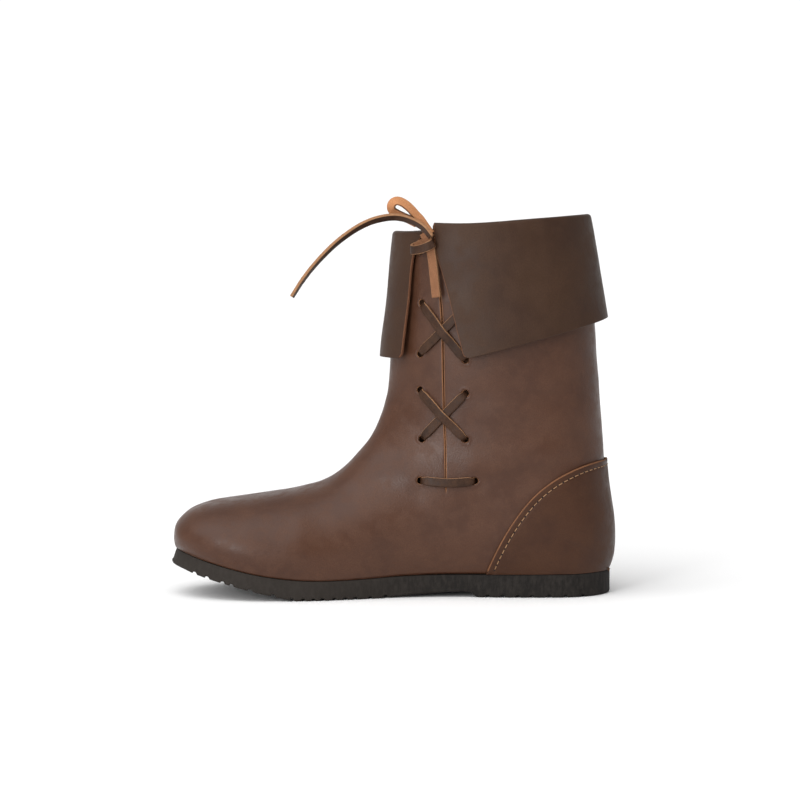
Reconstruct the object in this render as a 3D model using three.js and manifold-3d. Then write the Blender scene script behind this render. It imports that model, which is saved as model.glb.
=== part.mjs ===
import * as THREE from "three";
import { mergeVertices } from "three/addons/utils/BufferGeometryUtils.js";
import Module from "manifold-3d";

// A short riding boot of medieval pattern, for the right foot, in millimetres.
// +Z is up, the toe points along -X, and the laced inner side faces -Y.
// At the end the whole is moved so that the origin is under the middle of the boot.

// Driving dimensions
const leather = 2; // upper and cuff
const counterLeather = 1.8;
const seam = 0.3; // clearance between pieces that touch
const soleToe = -138.2; // top edge of the outsole at the toe
const soleHeel = 140.9; // top edge of the outsole at the heel
const toeRound = 58; // length of the rounded toe in plan
const heelRound = 34;
const toeBlunt = 2.15; // 2 is an ellipse, more is squarer
const insoleThick = 2.4;
const insoleGap = 1.2; // to the upper's wall all round
const laceWidth = 5.6;
const laceThick = 1.8;
const holeRadius = 2.1;
const slitWidth = 1.2;

// Plan of the outsole: the middle and the half width at each place along it.
const planRows = [
  { x: -138, middle: -6, half: 46.5 },
  { x: -105, middle: -4, half: 48 },
  { x: -80, middle: -1.5, half: 50.5 },
  { x: -52, middle: 1, half: 51 },
  { x: -25, middle: 3.5, half: 46.5 },
  { x: 5, middle: 4.5, half: 38.5 },
  { x: 40, middle: 3.5, half: 34.5 },
  { x: 80, middle: 1, half: 34.8 },
  { x: 106, middle: 0.5, half: 34 },
  { x: 140, middle: 0, half: 33 },
];

// Side of the outsole: its top, its bottom, and how far the bottom edge leans forward.
const sideRows = [
  { x: -138.2, top: 29.5, bottom: 20, lean: 3 },
  { x: -130, top: 27.7, bottom: 18.2, lean: 3 },
  { x: -122, top: 25.4, bottom: 15.7, lean: 2.8 },
  { x: -105, top: 21, bottom: 11, lean: 2.2 },
  { x: -87, top: 16.9, bottom: 6.2, lean: 1.4 },
  { x: -72, top: 14.4, bottom: 2.6, lean: 0.7 },
  { x: -58, top: 12.9, bottom: 0, lean: 0 },
  { x: -36, top: 12.3, bottom: 0, lean: 0 },
  { x: -12, top: 12.9, bottom: 0, lean: 0 },
  { x: 4, top: 13.7, bottom: 1.1, lean: 0 },
  { x: 20, top: 14.2, bottom: 2.1, lean: 0 },
  { x: 48, top: 14.5, bottom: 3.6, lean: 0 },
  { x: 56, top: 14.5, bottom: 0, lean: 0 },
  { x: 90, top: 14.6, bottom: 0, lean: 0 },
  { x: 140.9, top: 15, bottom: 0, lean: 0 },
];

// How far inside the outsole's edge the upper stands.
const insetRows = [
  { x: -138, inset: 0.5 },
  { x: 20, inset: 0.8 },
  { x: 75, inset: 2.4 },
  { x: 140, inset: 2.4 },
];

// Sections of the upper, from the toe to above the collar. Each lies in a plane that runs
// from the ridge (top of the vamp, then the front of the leg) to an end: in the first
// rows a place on the sole's edge, in the rest a point of the back line.
// inner and outer are the widest reaches to either side of the ridge. round shapes the
// section from the ridge to there: over 1 is peaked, under 1 is boxy. tail shapes it
// from there to the end: 2 is an ellipse, more is boxier.
const sectionRows = [
  { ridgeX: -137.7, ridgeZ: 29.8, ridgeY: -6, endX: -137.7, inner: 0, outer: 0, round: 0.9, tail: 2.2 },
  { ridgeX: -139.2, ridgeZ: 33.4, ridgeY: -5.9, endX: -137, inner: 14, outer: 14, round: 0.9, tail: 2.2 },
  { ridgeX: -139.5, ridgeZ: 38.6, ridgeY: -5.8, endX: -134.8, inner: 20.5, outer: 20.5, round: 0.88, tail: 2.2 },
  { ridgeX: -138.2, ridgeZ: 45.2, ridgeY: -5.6, endX: -131, inner: 27.5, outer: 27.5, round: 0.86, tail: 2.2 },
  { ridgeX: -134.2, ridgeZ: 50.4, ridgeY: -5.4, endX: -125.5, inner: 34, outer: 34, round: 0.84, tail: 2.2 },
  { ridgeX: -127.8, ridgeZ: 55, ridgeY: -5, endX: -117.5, inner: 40, outer: 39.5, round: 0.83, tail: 2.2 },
  { ridgeX: -116.5, ridgeZ: 58.8, ridgeY: -4.4, endX: -107, inner: 45.6, outer: 45.1, round: 0.83, tail: 2.2 },
  { ridgeX: -101, ridgeZ: 61.4, ridgeY: -3.5, endX: -94, inner: 49.8, outer: 49.3, round: 0.85, tail: 2.2 },
  { ridgeX: -81, ridgeZ: 64.1, ridgeY: -2.4, endX: -78, inner: 52.2, outer: 52.4, round: 0.88, tail: 2.2 },
  { ridgeX: -59, ridgeZ: 67.7, ridgeY: -1.6, endX: -56, inner: 52.6, outer: 54, round: 0.93, tail: 2.2 },
  { ridgeX: -41.5, ridgeZ: 73.8, ridgeY: -1.5, endX: -30, inner: 49, outer: 52.5, round: 1, tail: 2.2 },
  { ridgeX: -28.5, ridgeZ: 82.6, ridgeY: -1.8, endX: 0, inner: 44.5, outer: 48.5, round: 1.06, tail: 2.2 },
  { ridgeX: -18.3, ridgeZ: 94, ridgeY: -1.8, endX: 32, inner: 41.3, outer: 44, round: 1.08, tail: 2.25 },
  { ridgeX: -10.8, ridgeZ: 105.3, ridgeY: -1.5, endX: 62, inner: 40, outer: 42, round: 1.06, tail: 2.4 },
  { ridgeX: -6.2, ridgeZ: 116, ridgeY: -1, endX: 86, inner: 39.6, outer: 41, round: 1.02, tail: 2.6 },
  { ridgeX: -3.9, ridgeZ: 123.8, ridgeY: -0.5, endX: 106, inner: 39.6, outer: 40.2, round: 0.98, tail: 2.9 },
  { ridgeX: -2.5, ridgeZ: 129.3, ridgeY: -0.2, endX: 126, inner: 39.7, outer: 39.8, round: 0.95, tail: 3.2 },
  { ridgeX: -1.8, ridgeZ: 134, ridgeY: 0, endX: 138.5, endZ: 15.3, inner: 39.8, outer: 39.8, round: 0.94, tail: 3.4 },
  { ridgeX: -1.3, ridgeZ: 139, ridgeY: 0, endX: 141.9, endZ: 27, inner: 39.9, outer: 39.9, round: 0.93, tail: 3.4 },
  { ridgeX: -0.9, ridgeZ: 145.5, ridgeY: 0, endX: 141.8, endZ: 47, inner: 40.3, outer: 40.3, round: 0.93, tail: 3.2 },
  { ridgeX: -0.5, ridgeZ: 154, ridgeY: 0, endX: 137.8, endZ: 76, inner: 41.2, outer: 41.2, round: 0.93, tail: 2.9 },
  { ridgeX: 0.2, ridgeZ: 167, ridgeY: 0, endX: 135.4, endZ: 108, inner: 42.6, outer: 42.6, round: 0.94, tail: 2.6 },
  { ridgeX: 1.1, ridgeZ: 186, ridgeY: 0, endX: 132.3, endZ: 148, inner: 44.2, outer: 44.2, round: 0.95, tail: 2.35 },
  { ridgeX: 2.2, ridgeZ: 207, ridgeY: 0, endX: 128.8, endZ: 194, inner: 45.6, outer: 45.6, round: 0.96, tail: 2.2 },
  { ridgeX: 3.3, ridgeZ: 227.3, ridgeY: 0, endX: 125.4, endZ: 237.3, inner: 46.5, outer: 46.5, round: 0.97, tail: 2.15 },
  { ridgeX: 4.1, ridgeZ: 242, ridgeY: 0, endX: 122.6, endZ: 272, inner: 46.8, outer: 46.8, round: 0.97, tail: 2.15 },
];
const heelRow = 17; // the row that ends at the back of the sole's edge
const collarRow = 24; // the upper's top edge

// The slit down the inner side, from its foot to above the collar.
const slitRows = [
  { x: 34.6, z: 67 },
  { x: 34.1, z: 95.6 },
  { x: 33.1, z: 127 },
  { x: 31.4, z: 186 },
  { x: 29.2, z: 206 },
  { x: 26.4, z: 250 },
];

// Lace holes in pairs, from the bar up: the hole in front of the slit and the one behind.
const holeRows = [
  { frontX: 18.3, frontZ: 75.4, backX: 52.7, backZ: 75.4 },
  { frontX: 19.4, frontZ: 101.4, backX: 46.6, backZ: 101.6 },
  { frontX: 17.9, frontZ: 132, backX: 46.6, backZ: 130.7 },
  { frontX: 17.9, frontZ: 155.1, backX: 46.6, backZ: 152 },
  { frontX: 19.2, frontZ: 187.6, backX: 47.4, backZ: 185.6 },
  { frontX: 17.6, frontZ: 220, backX: 40.5, backZ: 220 },
];

// Front edge of the heel counter, from the sole up to the back line.
const counterRows = [
  { x: 58.5, z: 10 },
  { x: 60.8, z: 15.9 },
  { x: 66.9, z: 30 },
  { x: 76.3, z: 46.8 },
  { x: 87.7, z: 62 },
  { x: 100.4, z: 73.3 },
  { x: 116.4, z: 81.7 },
  { x: 130, z: 85.3 },
  { x: 150, z: 86 },
];

// The turned-down cuff: where its two free edges run, by the depth below the fold.
const cuffRows = [
  { depth: 0, frontX: 19.5, rearX: 27.2 },
  { depth: 5, frontX: 15.6, rearX: 27.4 },
  { depth: 13, frontX: 13.3, rearX: 28 },
  { depth: 40, frontX: 10.4, rearX: 35.4 },
  { depth: 65, frontX: 7.4, rearX: 41.6 },
  { depth: 90, frontX: 4.4, rearX: 47.8 },
];
const cuffHem = { z: 152.6, level: 44, rise: 0.262 }; // flat in front, rising towards the back
const foldRadius = 2.45; // outside of the fold
const cuffFlare = { front: 3.9, back: 7.2, full: 75 }; // how far the hem swings out

// Straight part between the upper's top edge and the fold, by the place round the leg:
// 0 in front, 1 at the back, and on towards 2 along the inner side. It is highest
// behind the slit, where the free corner stands up.
const foldRows = [
  { round: -0.27, rise: 1.9 },
  { round: 0, rise: 2.7 },
  { round: 0.24, rise: 1 },
  { round: 0.5, rise: 2.2 },
  { round: 0.8, rise: 2.7 },
  { round: 1, rise: 3.5 },
  { round: 1.25, rise: 4.1 },
  { round: 1.42, rise: 4.3 },
  { round: 1.58, rise: 4.8 },
  { round: 1.72, rise: 6.9 },
];

// Tables are read with smooth curves through their rows.
function hermite(a, b, slopeA, slopeB, t) {
  const t2 = t * t;
  const t3 = t2 * t;
  return a * (2 * t3 - 3 * t2 + 1) + b * (3 * t2 - 2 * t3) + slopeA * (t3 - 2 * t2 + t) + slopeB * (t3 - t2);
}

function along(rows, by, key, at) {
  const last = rows.length - 1;
  if (at <= rows[0][by]) return rows[0][key];
  if (at >= rows[last][by]) return rows[last][key];
  const i = rows.findIndex((row, k) => k < last && at < rows[k + 1][by]);
  const step = (k) => (rows[k + 1][key] - rows[k][key]) / (rows[k + 1][by] - rows[k][by]);
  const width = rows[i + 1][by] - rows[i][by];
  const here = step(i);
  const before = i > 0 ? step(i - 1) : here;
  const after = i + 1 < last ? step(i + 1) : here;
  const slopeA = before * here > 0 ? (before + here) / 2 : 0;
  const slopeB = here * after > 0 ? (here + after) / 2 : 0;
  return hermite(rows[i][key], rows[i + 1][key], slopeA * width, slopeB * width, (at - rows[i][by]) / width);
}

function byRow(key, s, first = 0, last = sectionRows.length - 1) {
  const i = Math.min(Math.floor(s), last - 1);
  const value = (k) => sectionRows[Math.min(Math.max(k, first), last)][key];
  const slopeA = (value(i + 1) - value(i - 1)) / 2;
  const slopeB = (value(i + 2) - value(i)) / 2;
  return hermite(value(i), value(i + 1), slopeA, slopeB, s - i);
}

// Plan: an outline set in from the outsole's edge.
function plan(x, inset) {
  const straight = along(planRows, "x", "half", x) - inset;
  const toe = Math.min(Math.max((soleToe + toeRound - x) / (toeRound - inset), 0), 1);
  const heel = Math.min(Math.max((x - soleHeel + heelRound) / (heelRound - inset), 0), 1);
  const toeShare = (1 - toe ** toeBlunt) ** (1 / toeBlunt);
  const heelShare = Math.sqrt(1 - heel ** 2);
  return { middle: along(planRows, "x", "middle", x), half: straight * toeShare * heelShare };
}

const bedZ = (x) => along(sideRows, "x", "top", x);
const upperInset = (x) => along(insetRows, "x", "inset", x);

// The upper's outer skin: s runs from the toe up to the collar, and turn from 0 on the
// ridge to 1 at the section's end; side is -1 for the inner half and 1 for the outer.
function section(s, side) {
  const open = s < heelRow;
  const endX = open ? byRow("endX", s, 0, heelRow) : byRow("endX", s, heelRow);
  const endZ = open ? bedZ(endX) + seam : byRow("endZ", s, heelRow);
  const ridge = { x: byRow("ridgeX", s), y: byRow("ridgeY", s), z: byRow("ridgeZ", s) };
  const edge = open ? plan(endX, upperInset(endX)) : { middle: 0, half: 0 };
  const reach = Math.max(byRow(side < 0 ? "inner" : "outer", s), edge.half * 1.012);
  const round = byRow("round", s);
  const tail = byRow("tail", s);
  const last = reach > 0 ? Math.PI - Math.acos((1 - (edge.half / reach) ** 2) ** (1 / tail)) : Math.PI;
  return { endX, endZ, ridge, edge, reach, round, tail, last, side };
}

function onSection(part, turn) {
  const angle = part.last * turn;
  const t = (1 - Math.cos(angle)) / (1 - Math.cos(part.last));
  const towardsRidge = Math.max(Math.sin(angle), 0) ** part.round;
  const towardsEnd = Math.sqrt(1 - Math.abs(Math.cos(angle)) ** part.tail);
  const out = part.reach * (angle < Math.PI / 2 ? towardsRidge : towardsEnd);
  const middle = part.ridge.y + (part.edge.middle - part.ridge.y) * t;
  return new THREE.Vector3(
    part.ridge.x + (part.endX - part.ridge.x) * t,
    middle + part.side * out,
    part.ridge.z + (part.endZ - part.ridge.z) * t,
  );
}

// The skin seen square to the side: the point over x and z, and the way out of it.
function skinAt(x, z, side) {
  let low = 0;
  let high = collarRow + 1;
  for (let i = 0; i < 40; i += 1) {
    const s = (low + high) / 2;
    const part = section(s, side);
    const ahead = (part.endX - part.ridge.x) * (z - part.ridge.z) - (part.endZ - part.ridge.z) * (x - part.ridge.x);
    if (ahead > 0) low = s;
    else high = s;
  }
  const part = section(low, side);
  const across = new THREE.Vector2(part.endX - part.ridge.x, part.endZ - part.ridge.z);
  const t = across.dot(new THREE.Vector2(x - part.ridge.x, z - part.ridge.z)) / across.lengthSq();
  const share = Math.min(Math.max(t, 0), 1);
  const turn = Math.acos(1 - share * (1 - Math.cos(part.last))) / part.last;
  return onSection(part, turn);
}

function skinOut(x, z, side) {
  const reach = 0.8;
  const slopeX = (skinAt(x + reach, z, side).y - skinAt(x - reach, z, side).y) / (2 * reach);
  const slopeZ = (skinAt(x, z + reach, side).y - skinAt(x, z - reach, side).y) / (2 * reach);
  return new THREE.Vector3(-side * slopeX, side, -side * slopeZ).normalize();
}

// Sheets and solids
const sheet = () => ({ points: [], faces: [] });

function addGrid(target, rows) {
  const first = target.points.length;
  const wide = rows[0].length;
  rows.forEach((row) => target.points.push(...row));
  for (let i = 0; i + 1 < rows.length; i += 1) {
    for (let j = 0; j + 1 < wide; j += 1) {
      const a = first + i * wide + j;
      const [b, c, d] = [a + 1, a + wide + 1, a + wide];
      const acrossAC = target.points[a].distanceTo(target.points[c]);
      const acrossBD = target.points[b].distanceTo(target.points[d]);
      if (acrossAC <= acrossBD) target.faces.push([a, b, c], [a, c, d]);
      else target.faces.push([a, b, d], [b, c, d]);
    }
  }
}

function toGeometry(target) {
  const loose = new THREE.BufferGeometry();
  loose.setAttribute("position", new THREE.Float32BufferAttribute(target.points.flatMap((p) => p.toArray()), 3));
  loose.setIndex(target.faces.flat());
  const welded = mergeVertices(loose, 1e-3);
  const index = welded.index.array;
  const kept = [];
  for (let i = 0; i < index.length; i += 3) {
    const [a, b, c] = [index[i], index[i + 1], index[i + 2]];
    if (a !== b && b !== c && c !== a) kept.push(a, b, c);
  }
  welded.setIndex(kept);
  return welded;
}

// Gives an open sheet a wall between two distances from it, measured outwards. With
// level rims, the wall's edges are cut level, and follow the bed where they stand on it.
function thicken(target, from, to, levelRims) {
  const skin = toGeometry(target);
  skin.computeVertexNormals();
  const count = skin.attributes.position.count;
  const index = skin.index.array;
  const edges = new Map();
  for (let i = 0; i < index.length; i += 3) {
    for (let k = 0; k < 3; k += 1) {
      const a = index[i + k];
      const b = index[i + ((k + 1) % 3)];
      if (edges.has(`${b} ${a}`)) edges.delete(`${b} ${a}`);
      else edges.set(`${a} ${b}`, [a, b]);
    }
  }
  const rim = new Set([...edges.values()].flat());
  const layer = (distance) =>
    Array.from({ length: count }, (_, i) => {
      const point = new THREE.Vector3().fromBufferAttribute(skin.attributes.position, i);
      const out = new THREE.Vector3().fromBufferAttribute(skin.attributes.normal, i);
      const onBed = Math.abs(point.z - bedZ(point.x) - seam) < 0.2;
      if (levelRims && rim.has(i)) out.setZ(0).normalize();
      point.addScaledVector(out, distance);
      const floor = bedZ(point.x) + seam;
      if (levelRims && (onBed || point.z < floor)) point.z = floor;
      return point;
    });
  const wall = sheet();
  wall.points.push(...layer(to), ...layer(from));
  for (let i = 0; i < index.length; i += 3) {
    const [a, b, c] = [index[i], index[i + 1], index[i + 2]];
    wall.faces.push([a, b, c], [c + count, b + count, a + count]);
  }
  edges.forEach(([a, b]) => wall.faces.push([b, a, a + count], [b, a + count, b + count]));
  return toGeometry(wall);
}

// A flat strip: each station has its centre, the way across it and the way out of it.
function strip(stations) {
  const body = sheet();
  const rows = stations.map(({ centre, across, out }) => {
    const corner = (w, t) => centre.clone().addScaledVector(across, w).addScaledVector(out, t);
    const [w, t] = [laceWidth / 2, laceThick / 2];
    return [corner(-w, -t), corner(w, -t), corner(w, t), corner(-w, t), corner(-w, -t)];
  });
  addGrid(body, rows);
  const end = body.points.length - 5;
  body.faces.push([0, 2, 1], [0, 3, 2], [end, end + 1, end + 2], [end, end + 2, end + 3]);
  return toGeometry(body);
}

// Booleans
const wasm = await Module();
wasm.setup();

function toSolid(geometry) {
  const bare = new THREE.BufferGeometry();
  bare.setAttribute("position", geometry.attributes.position.clone());
  if (geometry.index) bare.setIndex(geometry.index.clone());
  const welded = mergeVertices(bare, 1e-4);
  const mesh = new wasm.Mesh({
    numProp: 3,
    vertProperties: new Float32Array(welded.attributes.position.array),
    triVerts: new Uint32Array(welded.index.array),
  });
  return new wasm.Manifold(mesh);
}

function fromSolid(solid) {
  const mesh = solid.getMesh();
  const geometry = new THREE.BufferGeometry();
  geometry.setAttribute("position", new THREE.Float32BufferAttribute(mesh.vertProperties, 3));
  geometry.setIndex([...mesh.triVerts]);
  return geometry;
}

// A solid whose outline is drawn in x and z, and that runs across the boot.
function crossPrism(outline, fromY, toY) {
  const shape = new THREE.Shape(outline.map(({ x, z }) => new THREE.Vector2(x, z)));
  const solid = new THREE.ExtrudeGeometry(shape, { depth: toY - fromY, bevelEnabled: false });
  return solid.rotateX(Math.PI / 2).translate(0, toY, 0);
}

// Outsole: one moulding, lofted from toe to heel, with grooves across its underside.
const soleEdge = 1; // rounding of the lower edge
const soleStations = 52;
const grooves = {
  width: 3,
  depth: 1.3,
  toe: [-124.7, -116.6, -106.5, -100.8, -89.1],
  forefoot: [-74.4, -62.7, -55.5, -49.2, -43.6, -36, -29.1, -22.8, -13.4, -3.7],
  heel: [61.2, 70.7, 80.6, 89.4, 100.5, 111, 122],
};

function soleSection(x) {
  const { middle, half } = plan(x, 0);
  const top = along(sideRows, "x", "top", x);
  const bottom = along(sideRows, "x", "bottom", x);
  const lean = along(sideRows, "x", "lean", x);
  const narrow = Math.max(half - soleEdge, 0);
  const under = x - lean;
  return [
    new THREE.Vector3(x, middle - half, top),
    new THREE.Vector3(under, middle - half, bottom + soleEdge),
    new THREE.Vector3(under, middle - narrow, bottom),
    new THREE.Vector3(under, middle + narrow, bottom),
    new THREE.Vector3(under, middle + half, bottom + soleEdge),
    new THREE.Vector3(x, middle + half, top),
    new THREE.Vector3(x, middle - half, top),
  ];
}

function outsole() {
  const body = sheet();
  const flats = [-58, -12, 48, 56];
  const length = soleHeel - soleToe;
  const spaced = (k) => soleToe + (length * (1 - Math.cos((Math.PI * k) / soleStations))) / 2;
  const even = Array.from({ length: soleStations + 1 }, (_, k) => spaced(k));
  const clear = even.filter((x) => flats.every((flat) => Math.abs(flat - x) > 2));
  const places = [...clear, ...flats].sort((a, b) => a - b);
  const stations = places.map(soleSection);
  addGrid(body, stations);
  let solid = toSolid(toGeometry(body));
  const radius = (grooves.depth ** 2 + (grooves.width / 2) ** 2) / (2 * grooves.depth);
  for (const x of [...grooves.toe, ...grooves.forefoot, ...grooves.heel]) {
    const cut = new THREE.CylinderGeometry(radius, radius, 130, 12);
    const above = x + along(sideRows, "x", "lean", x);
    const z = along(sideRows, "x", "bottom", above) - radius + grooves.depth;
    cut.translate(x, 0, z);
    solid = solid.subtract(toSolid(cut));
  }
  return fromSolid(solid);
}

// Insole: a thin footbed inside the upper's wall.
function insole() {
  const body = sheet();
  const inside = (x) => upperInset(x) + leather + insoleGap;
  const start = soleToe + inside(soleToe);
  const end = soleHeel - inside(soleHeel);
  const count = 34;
  const stations = [];
  for (let k = 0; k <= count; k += 1) {
    const x = start + ((end - start) * (1 - Math.cos((Math.PI * k) / count))) / 2;
    const { middle, half } = plan(x, inside(x));
    const low = bedZ(x) + seam;
    const corner = (side, z) => new THREE.Vector3(x, middle + side * half, z);
    stations.push([corner(-1, low + insoleThick), corner(-1, low), corner(1, low), corner(1, low + insoleThick)]);
    stations[k].push(stations[k][0]);
  }
  addGrid(body, stations);
  return toGeometry(body);
}

// Upper: one wall from the toe to the collar, slit and punched on its inner side.
const aroundSteps = 12; // steps from the ridge to a section's end
const heelSteps = 5; // round the back of the heel

function skinRow(s) {
  const row = [];
  for (let j = aroundSteps; j >= -aroundSteps; j -= 1) {
    row.push(onSection(section(s, Math.sign(j) || 1), Math.abs(j) / aroundSteps));
  }
  return row;
}

function slitPrism() {
  const half = slitWidth / 2;
  const left = slitRows.map(({ x, z }) => ({ x: x - half, z }));
  const right = slitRows.map(({ x, z }) => ({ x: x + half, z })).reverse();
  return crossPrism([...left, ...right], -80, -10);
}

function punch(x, z) {
  const out = skinOut(x, z, -1);
  const hole = new THREE.CylinderGeometry(holeRadius, holeRadius, 12, 12);
  hole.applyQuaternion(new THREE.Quaternion().setFromUnitVectors(new THREE.Vector3(0, 1, 0), out));
  const at = skinAt(x, z, -1);
  return hole.translate(at.x, at.y, at.z);
}

function skinPlaces() {
  const places = [];
  for (let s = 0; s < heelRow - 1; s += 0.5) places.push(s);
  for (let k = 0; k < heelSteps; k += 1) places.push(heelRow - 1 + k / heelSteps);
  for (let s = heelRow; s < 20; s += 0.5) places.push(s);
  for (let s = 20; s <= collarRow; s += 1) places.push(s);
  return places;
}

function upper() {
  const skin = sheet();
  addGrid(skin, skinPlaces().map(skinRow));
  let solid = toSolid(thicken(skin, -leather, 0, true));
  solid = solid.subtract(toSolid(slitPrism()));
  for (const row of holeRows) {
    solid = solid.subtract(toSolid(punch(row.frontX, row.frontZ)));
    solid = solid.subtract(toSolid(punch(row.backX, row.backZ)));
  }
  return fromSolid(solid);
}

// Counter: an overlay on the heel, cut from two larger forms of the upper.
function counter() {
  const skin = sheet();
  const places = skinPlaces().filter((s) => s >= 12.5 && s <= 22);
  const firstStep = 4; // the section is free from the ridge to here
  for (const side of [1, -1]) {
    const turns = [];
    for (let j = aroundSteps; j >= firstStep; j -= 1) turns.push(j / aroundSteps);
    if (side < 0) turns.reverse();
    addGrid(skin, places.map((s) => turns.map((turn) => onSection(section(s, side), turn))));
  }
  const shell = toSolid(thicken(skin, seam, seam + counterLeather, true));
  const outline = [...counterRows, { x: 150, z: 10 }];
  return fromSolid(shell.intersect(toSolid(crossPrism(outline, -70, 70))));
}

// Cuff: round is the place round the leg, 0 in front, negative on the inner side and
// 1 or -1 at the back. Its skin starts on the inside, goes over the fold and down.
function legAt(round, z) {
  const wrapped = round > 1 ? round - 2 : round;
  const side = wrapped < 0 ? -1 : 1;
  let low = heelRow;
  let high = collarRow + 1;
  for (let i = 0; i < 30; i += 1) {
    const s = (low + high) / 2;
    if (onSection(section(s, side), Math.abs(wrapped)).z < z) low = s;
    else high = s;
  }
  return { s: low, side, turn: Math.abs(wrapped) };
}

function offLeg(round, z, distance) {
  const { s, side, turn } = legAt(round, z);
  const part = section(s, side);
  const step = 0.004;
  const ahead = onSection(part, Math.min(turn + step, 1));
  const behind = onSection(part, Math.max(turn - step, 0));
  const run = ahead.sub(behind);
  const out = new THREE.Vector3(run.y, -run.x, 0).normalize().multiplyScalar(-side);
  return onSection(part, turn).setZ(z).addScaledVector(out, distance);
}

const cuffSteps = { round: 34, fold: 6, flap: 6 };
const slitRound = -0.26; // between the cuff's two free edges

function cuffRoundAt(x, z, distance) {
  let low = -0.7;
  let high = -0.02;
  for (let i = 0; i < 30; i += 1) {
    const round = (low + high) / 2;
    if (offLeg(round, z, distance).x > x) low = round;
    else high = round;
  }
  return low;
}

function collarZ(round) {
  const wrapped = round > 1 ? round - 2 : round;
  return onSection(section(collarRow, wrapped < 0 ? -1 : 1), Math.abs(wrapped)).z;
}

function flapDistance(depth, backness) {
  const swing = cuffFlare.front + (cuffFlare.back - cuffFlare.front) * backness;
  return 2 * foldRadius - leather + swing * (depth / cuffFlare.full) ** 0.9;
}

function cuff() {
  const profile = [{ onRise: 0, lift: seam, distance: -leather, share: 0 }];
  for (let k = 0; k <= cuffSteps.fold; k += 1) {
    const angle = (Math.PI * k) / cuffSteps.fold;
    const distance = foldRadius - leather - foldRadius * Math.cos(angle);
    profile.push({ onRise: 1, lift: foldRadius * Math.sin(angle), distance, share: 0 });
  }
  for (let k = 1; k <= cuffSteps.flap; k += 1) profile.push({ share: k / cuffSteps.flap });
  const ends = { front: -0.27, rear: -0.32 };
  const rows = profile.map(({ onRise, lift, distance, share }) => {
    const place = (round) => {
      const rise = along(foldRows, "round", "rise", round < slitRound ? round + 2 : round);
      const top = collarZ(round) + rise;
      if (share === 0) return { z: collarZ(round) + rise * onRise + lift, distance };
      const rough = offLeg(round, cuffHem.z, 8).x;
      const hem = cuffHem.z + cuffHem.rise * Math.max(rough - cuffHem.level, 0);
      const depth = (top - hem) * share;
      const backness = Math.min(Math.abs(round), Math.abs(2 - round));
      return { z: top - depth, distance: flapDistance(depth, backness), depth };
    };
    const edge = (start, key) => {
      let round = start;
      for (let i = 0; i < 6; i += 1) {
        const at = place(round);
        const x = along(cuffRows, "depth", key, at.depth ?? 0);
        round = cuffRoundAt(x, at.z, at.distance);
      }
      return round;
    };
    const from = share === 0 && distance < 0 ? cuffRoundAt(25.4, place(ends.front).z, distance) : edge(ends.front, "frontX");
    const to = 2 + (share === 0 && distance < 0 ? cuffRoundAt(27.2, place(ends.rear).z, distance) : edge(ends.rear, "rearX"));
    return Array.from({ length: cuffSteps.round + 1 }, (_, k) => {
      const round = from + ((to - from) * k) / cuffSteps.round;
      const at = place(round);
      return offLeg(round, at.z, at.distance);
    });
  });
  const skin = sheet();
  addGrid(skin, rows);
  return thicken(skin, -leather, 0, false);
}

// Lacing: a flat thong. A leg of it lies over the skin between two holes.
const laceSteps = 8;

function laceLeg(from, to, rise, sag) {
  const stations = [];
  for (let k = 0; k <= laceSteps; k += 1) {
    const t = k / laceSteps;
    const arch = Math.sin(Math.PI * t);
    const x = from.x + (to.x - from.x) * t;
    const z = from.z + (to.z - from.z) * t - sag * arch;
    const out = skinOut(x, z, -1);
    const lift = seam + 0.1 + laceThick / 2 + rise * arch ** 2;
    stations.push({ centre: skinAt(x, z, -1).addScaledVector(out, lift), out });
  }
  stations.forEach((station, k) => {
    const next = stations[Math.min(k + 1, laceSteps)].centre;
    const last = stations[Math.max(k - 1, 0)].centre;
    station.across = station.out.clone().cross(next.clone().sub(last)).normalize();
  });
  return strip(stations);
}

const underRise = 0.3;
const overRise = underRise + laceThick - 0.15;

function cross(lowRow, highRow) {
  const under = laceLeg({ x: lowRow.frontX, z: lowRow.frontZ }, { x: highRow.backX, z: highRow.backZ }, underRise, 0);
  const over = laceLeg({ x: highRow.frontX, z: highRow.frontZ }, { x: lowRow.backX, z: lowRow.backZ }, overRise, 0);
  return fromSolid(toSolid(under).add(toSolid(over)));
}

function bar(row) {
  return laceLeg({ x: row.frontX, z: row.frontZ }, { x: row.backX, z: row.backZ }, 0.5, 1.4);
}

// A free run of the thong through points, turning its width from one way to another.
function freeRun(points, widthFrom, widthTo) {
  const path = points.map(({ x, y, z }) => new THREE.Vector3(x, y, z));
  const stations = path.map((centre, k) => {
    const ahead = path[Math.min(k + 1, path.length - 1)];
    const along = ahead.clone().sub(path[Math.max(k - 1, 0)]).normalize();
    const wide = new THREE.Vector3(...widthFrom).lerp(new THREE.Vector3(...widthTo), k / (path.length - 1));
    const across = wide.addScaledVector(along, -wide.dot(along)).normalize();
    return { centre, across, out: along.clone().cross(across) };
  });
  return strip(stations);
}

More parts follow.
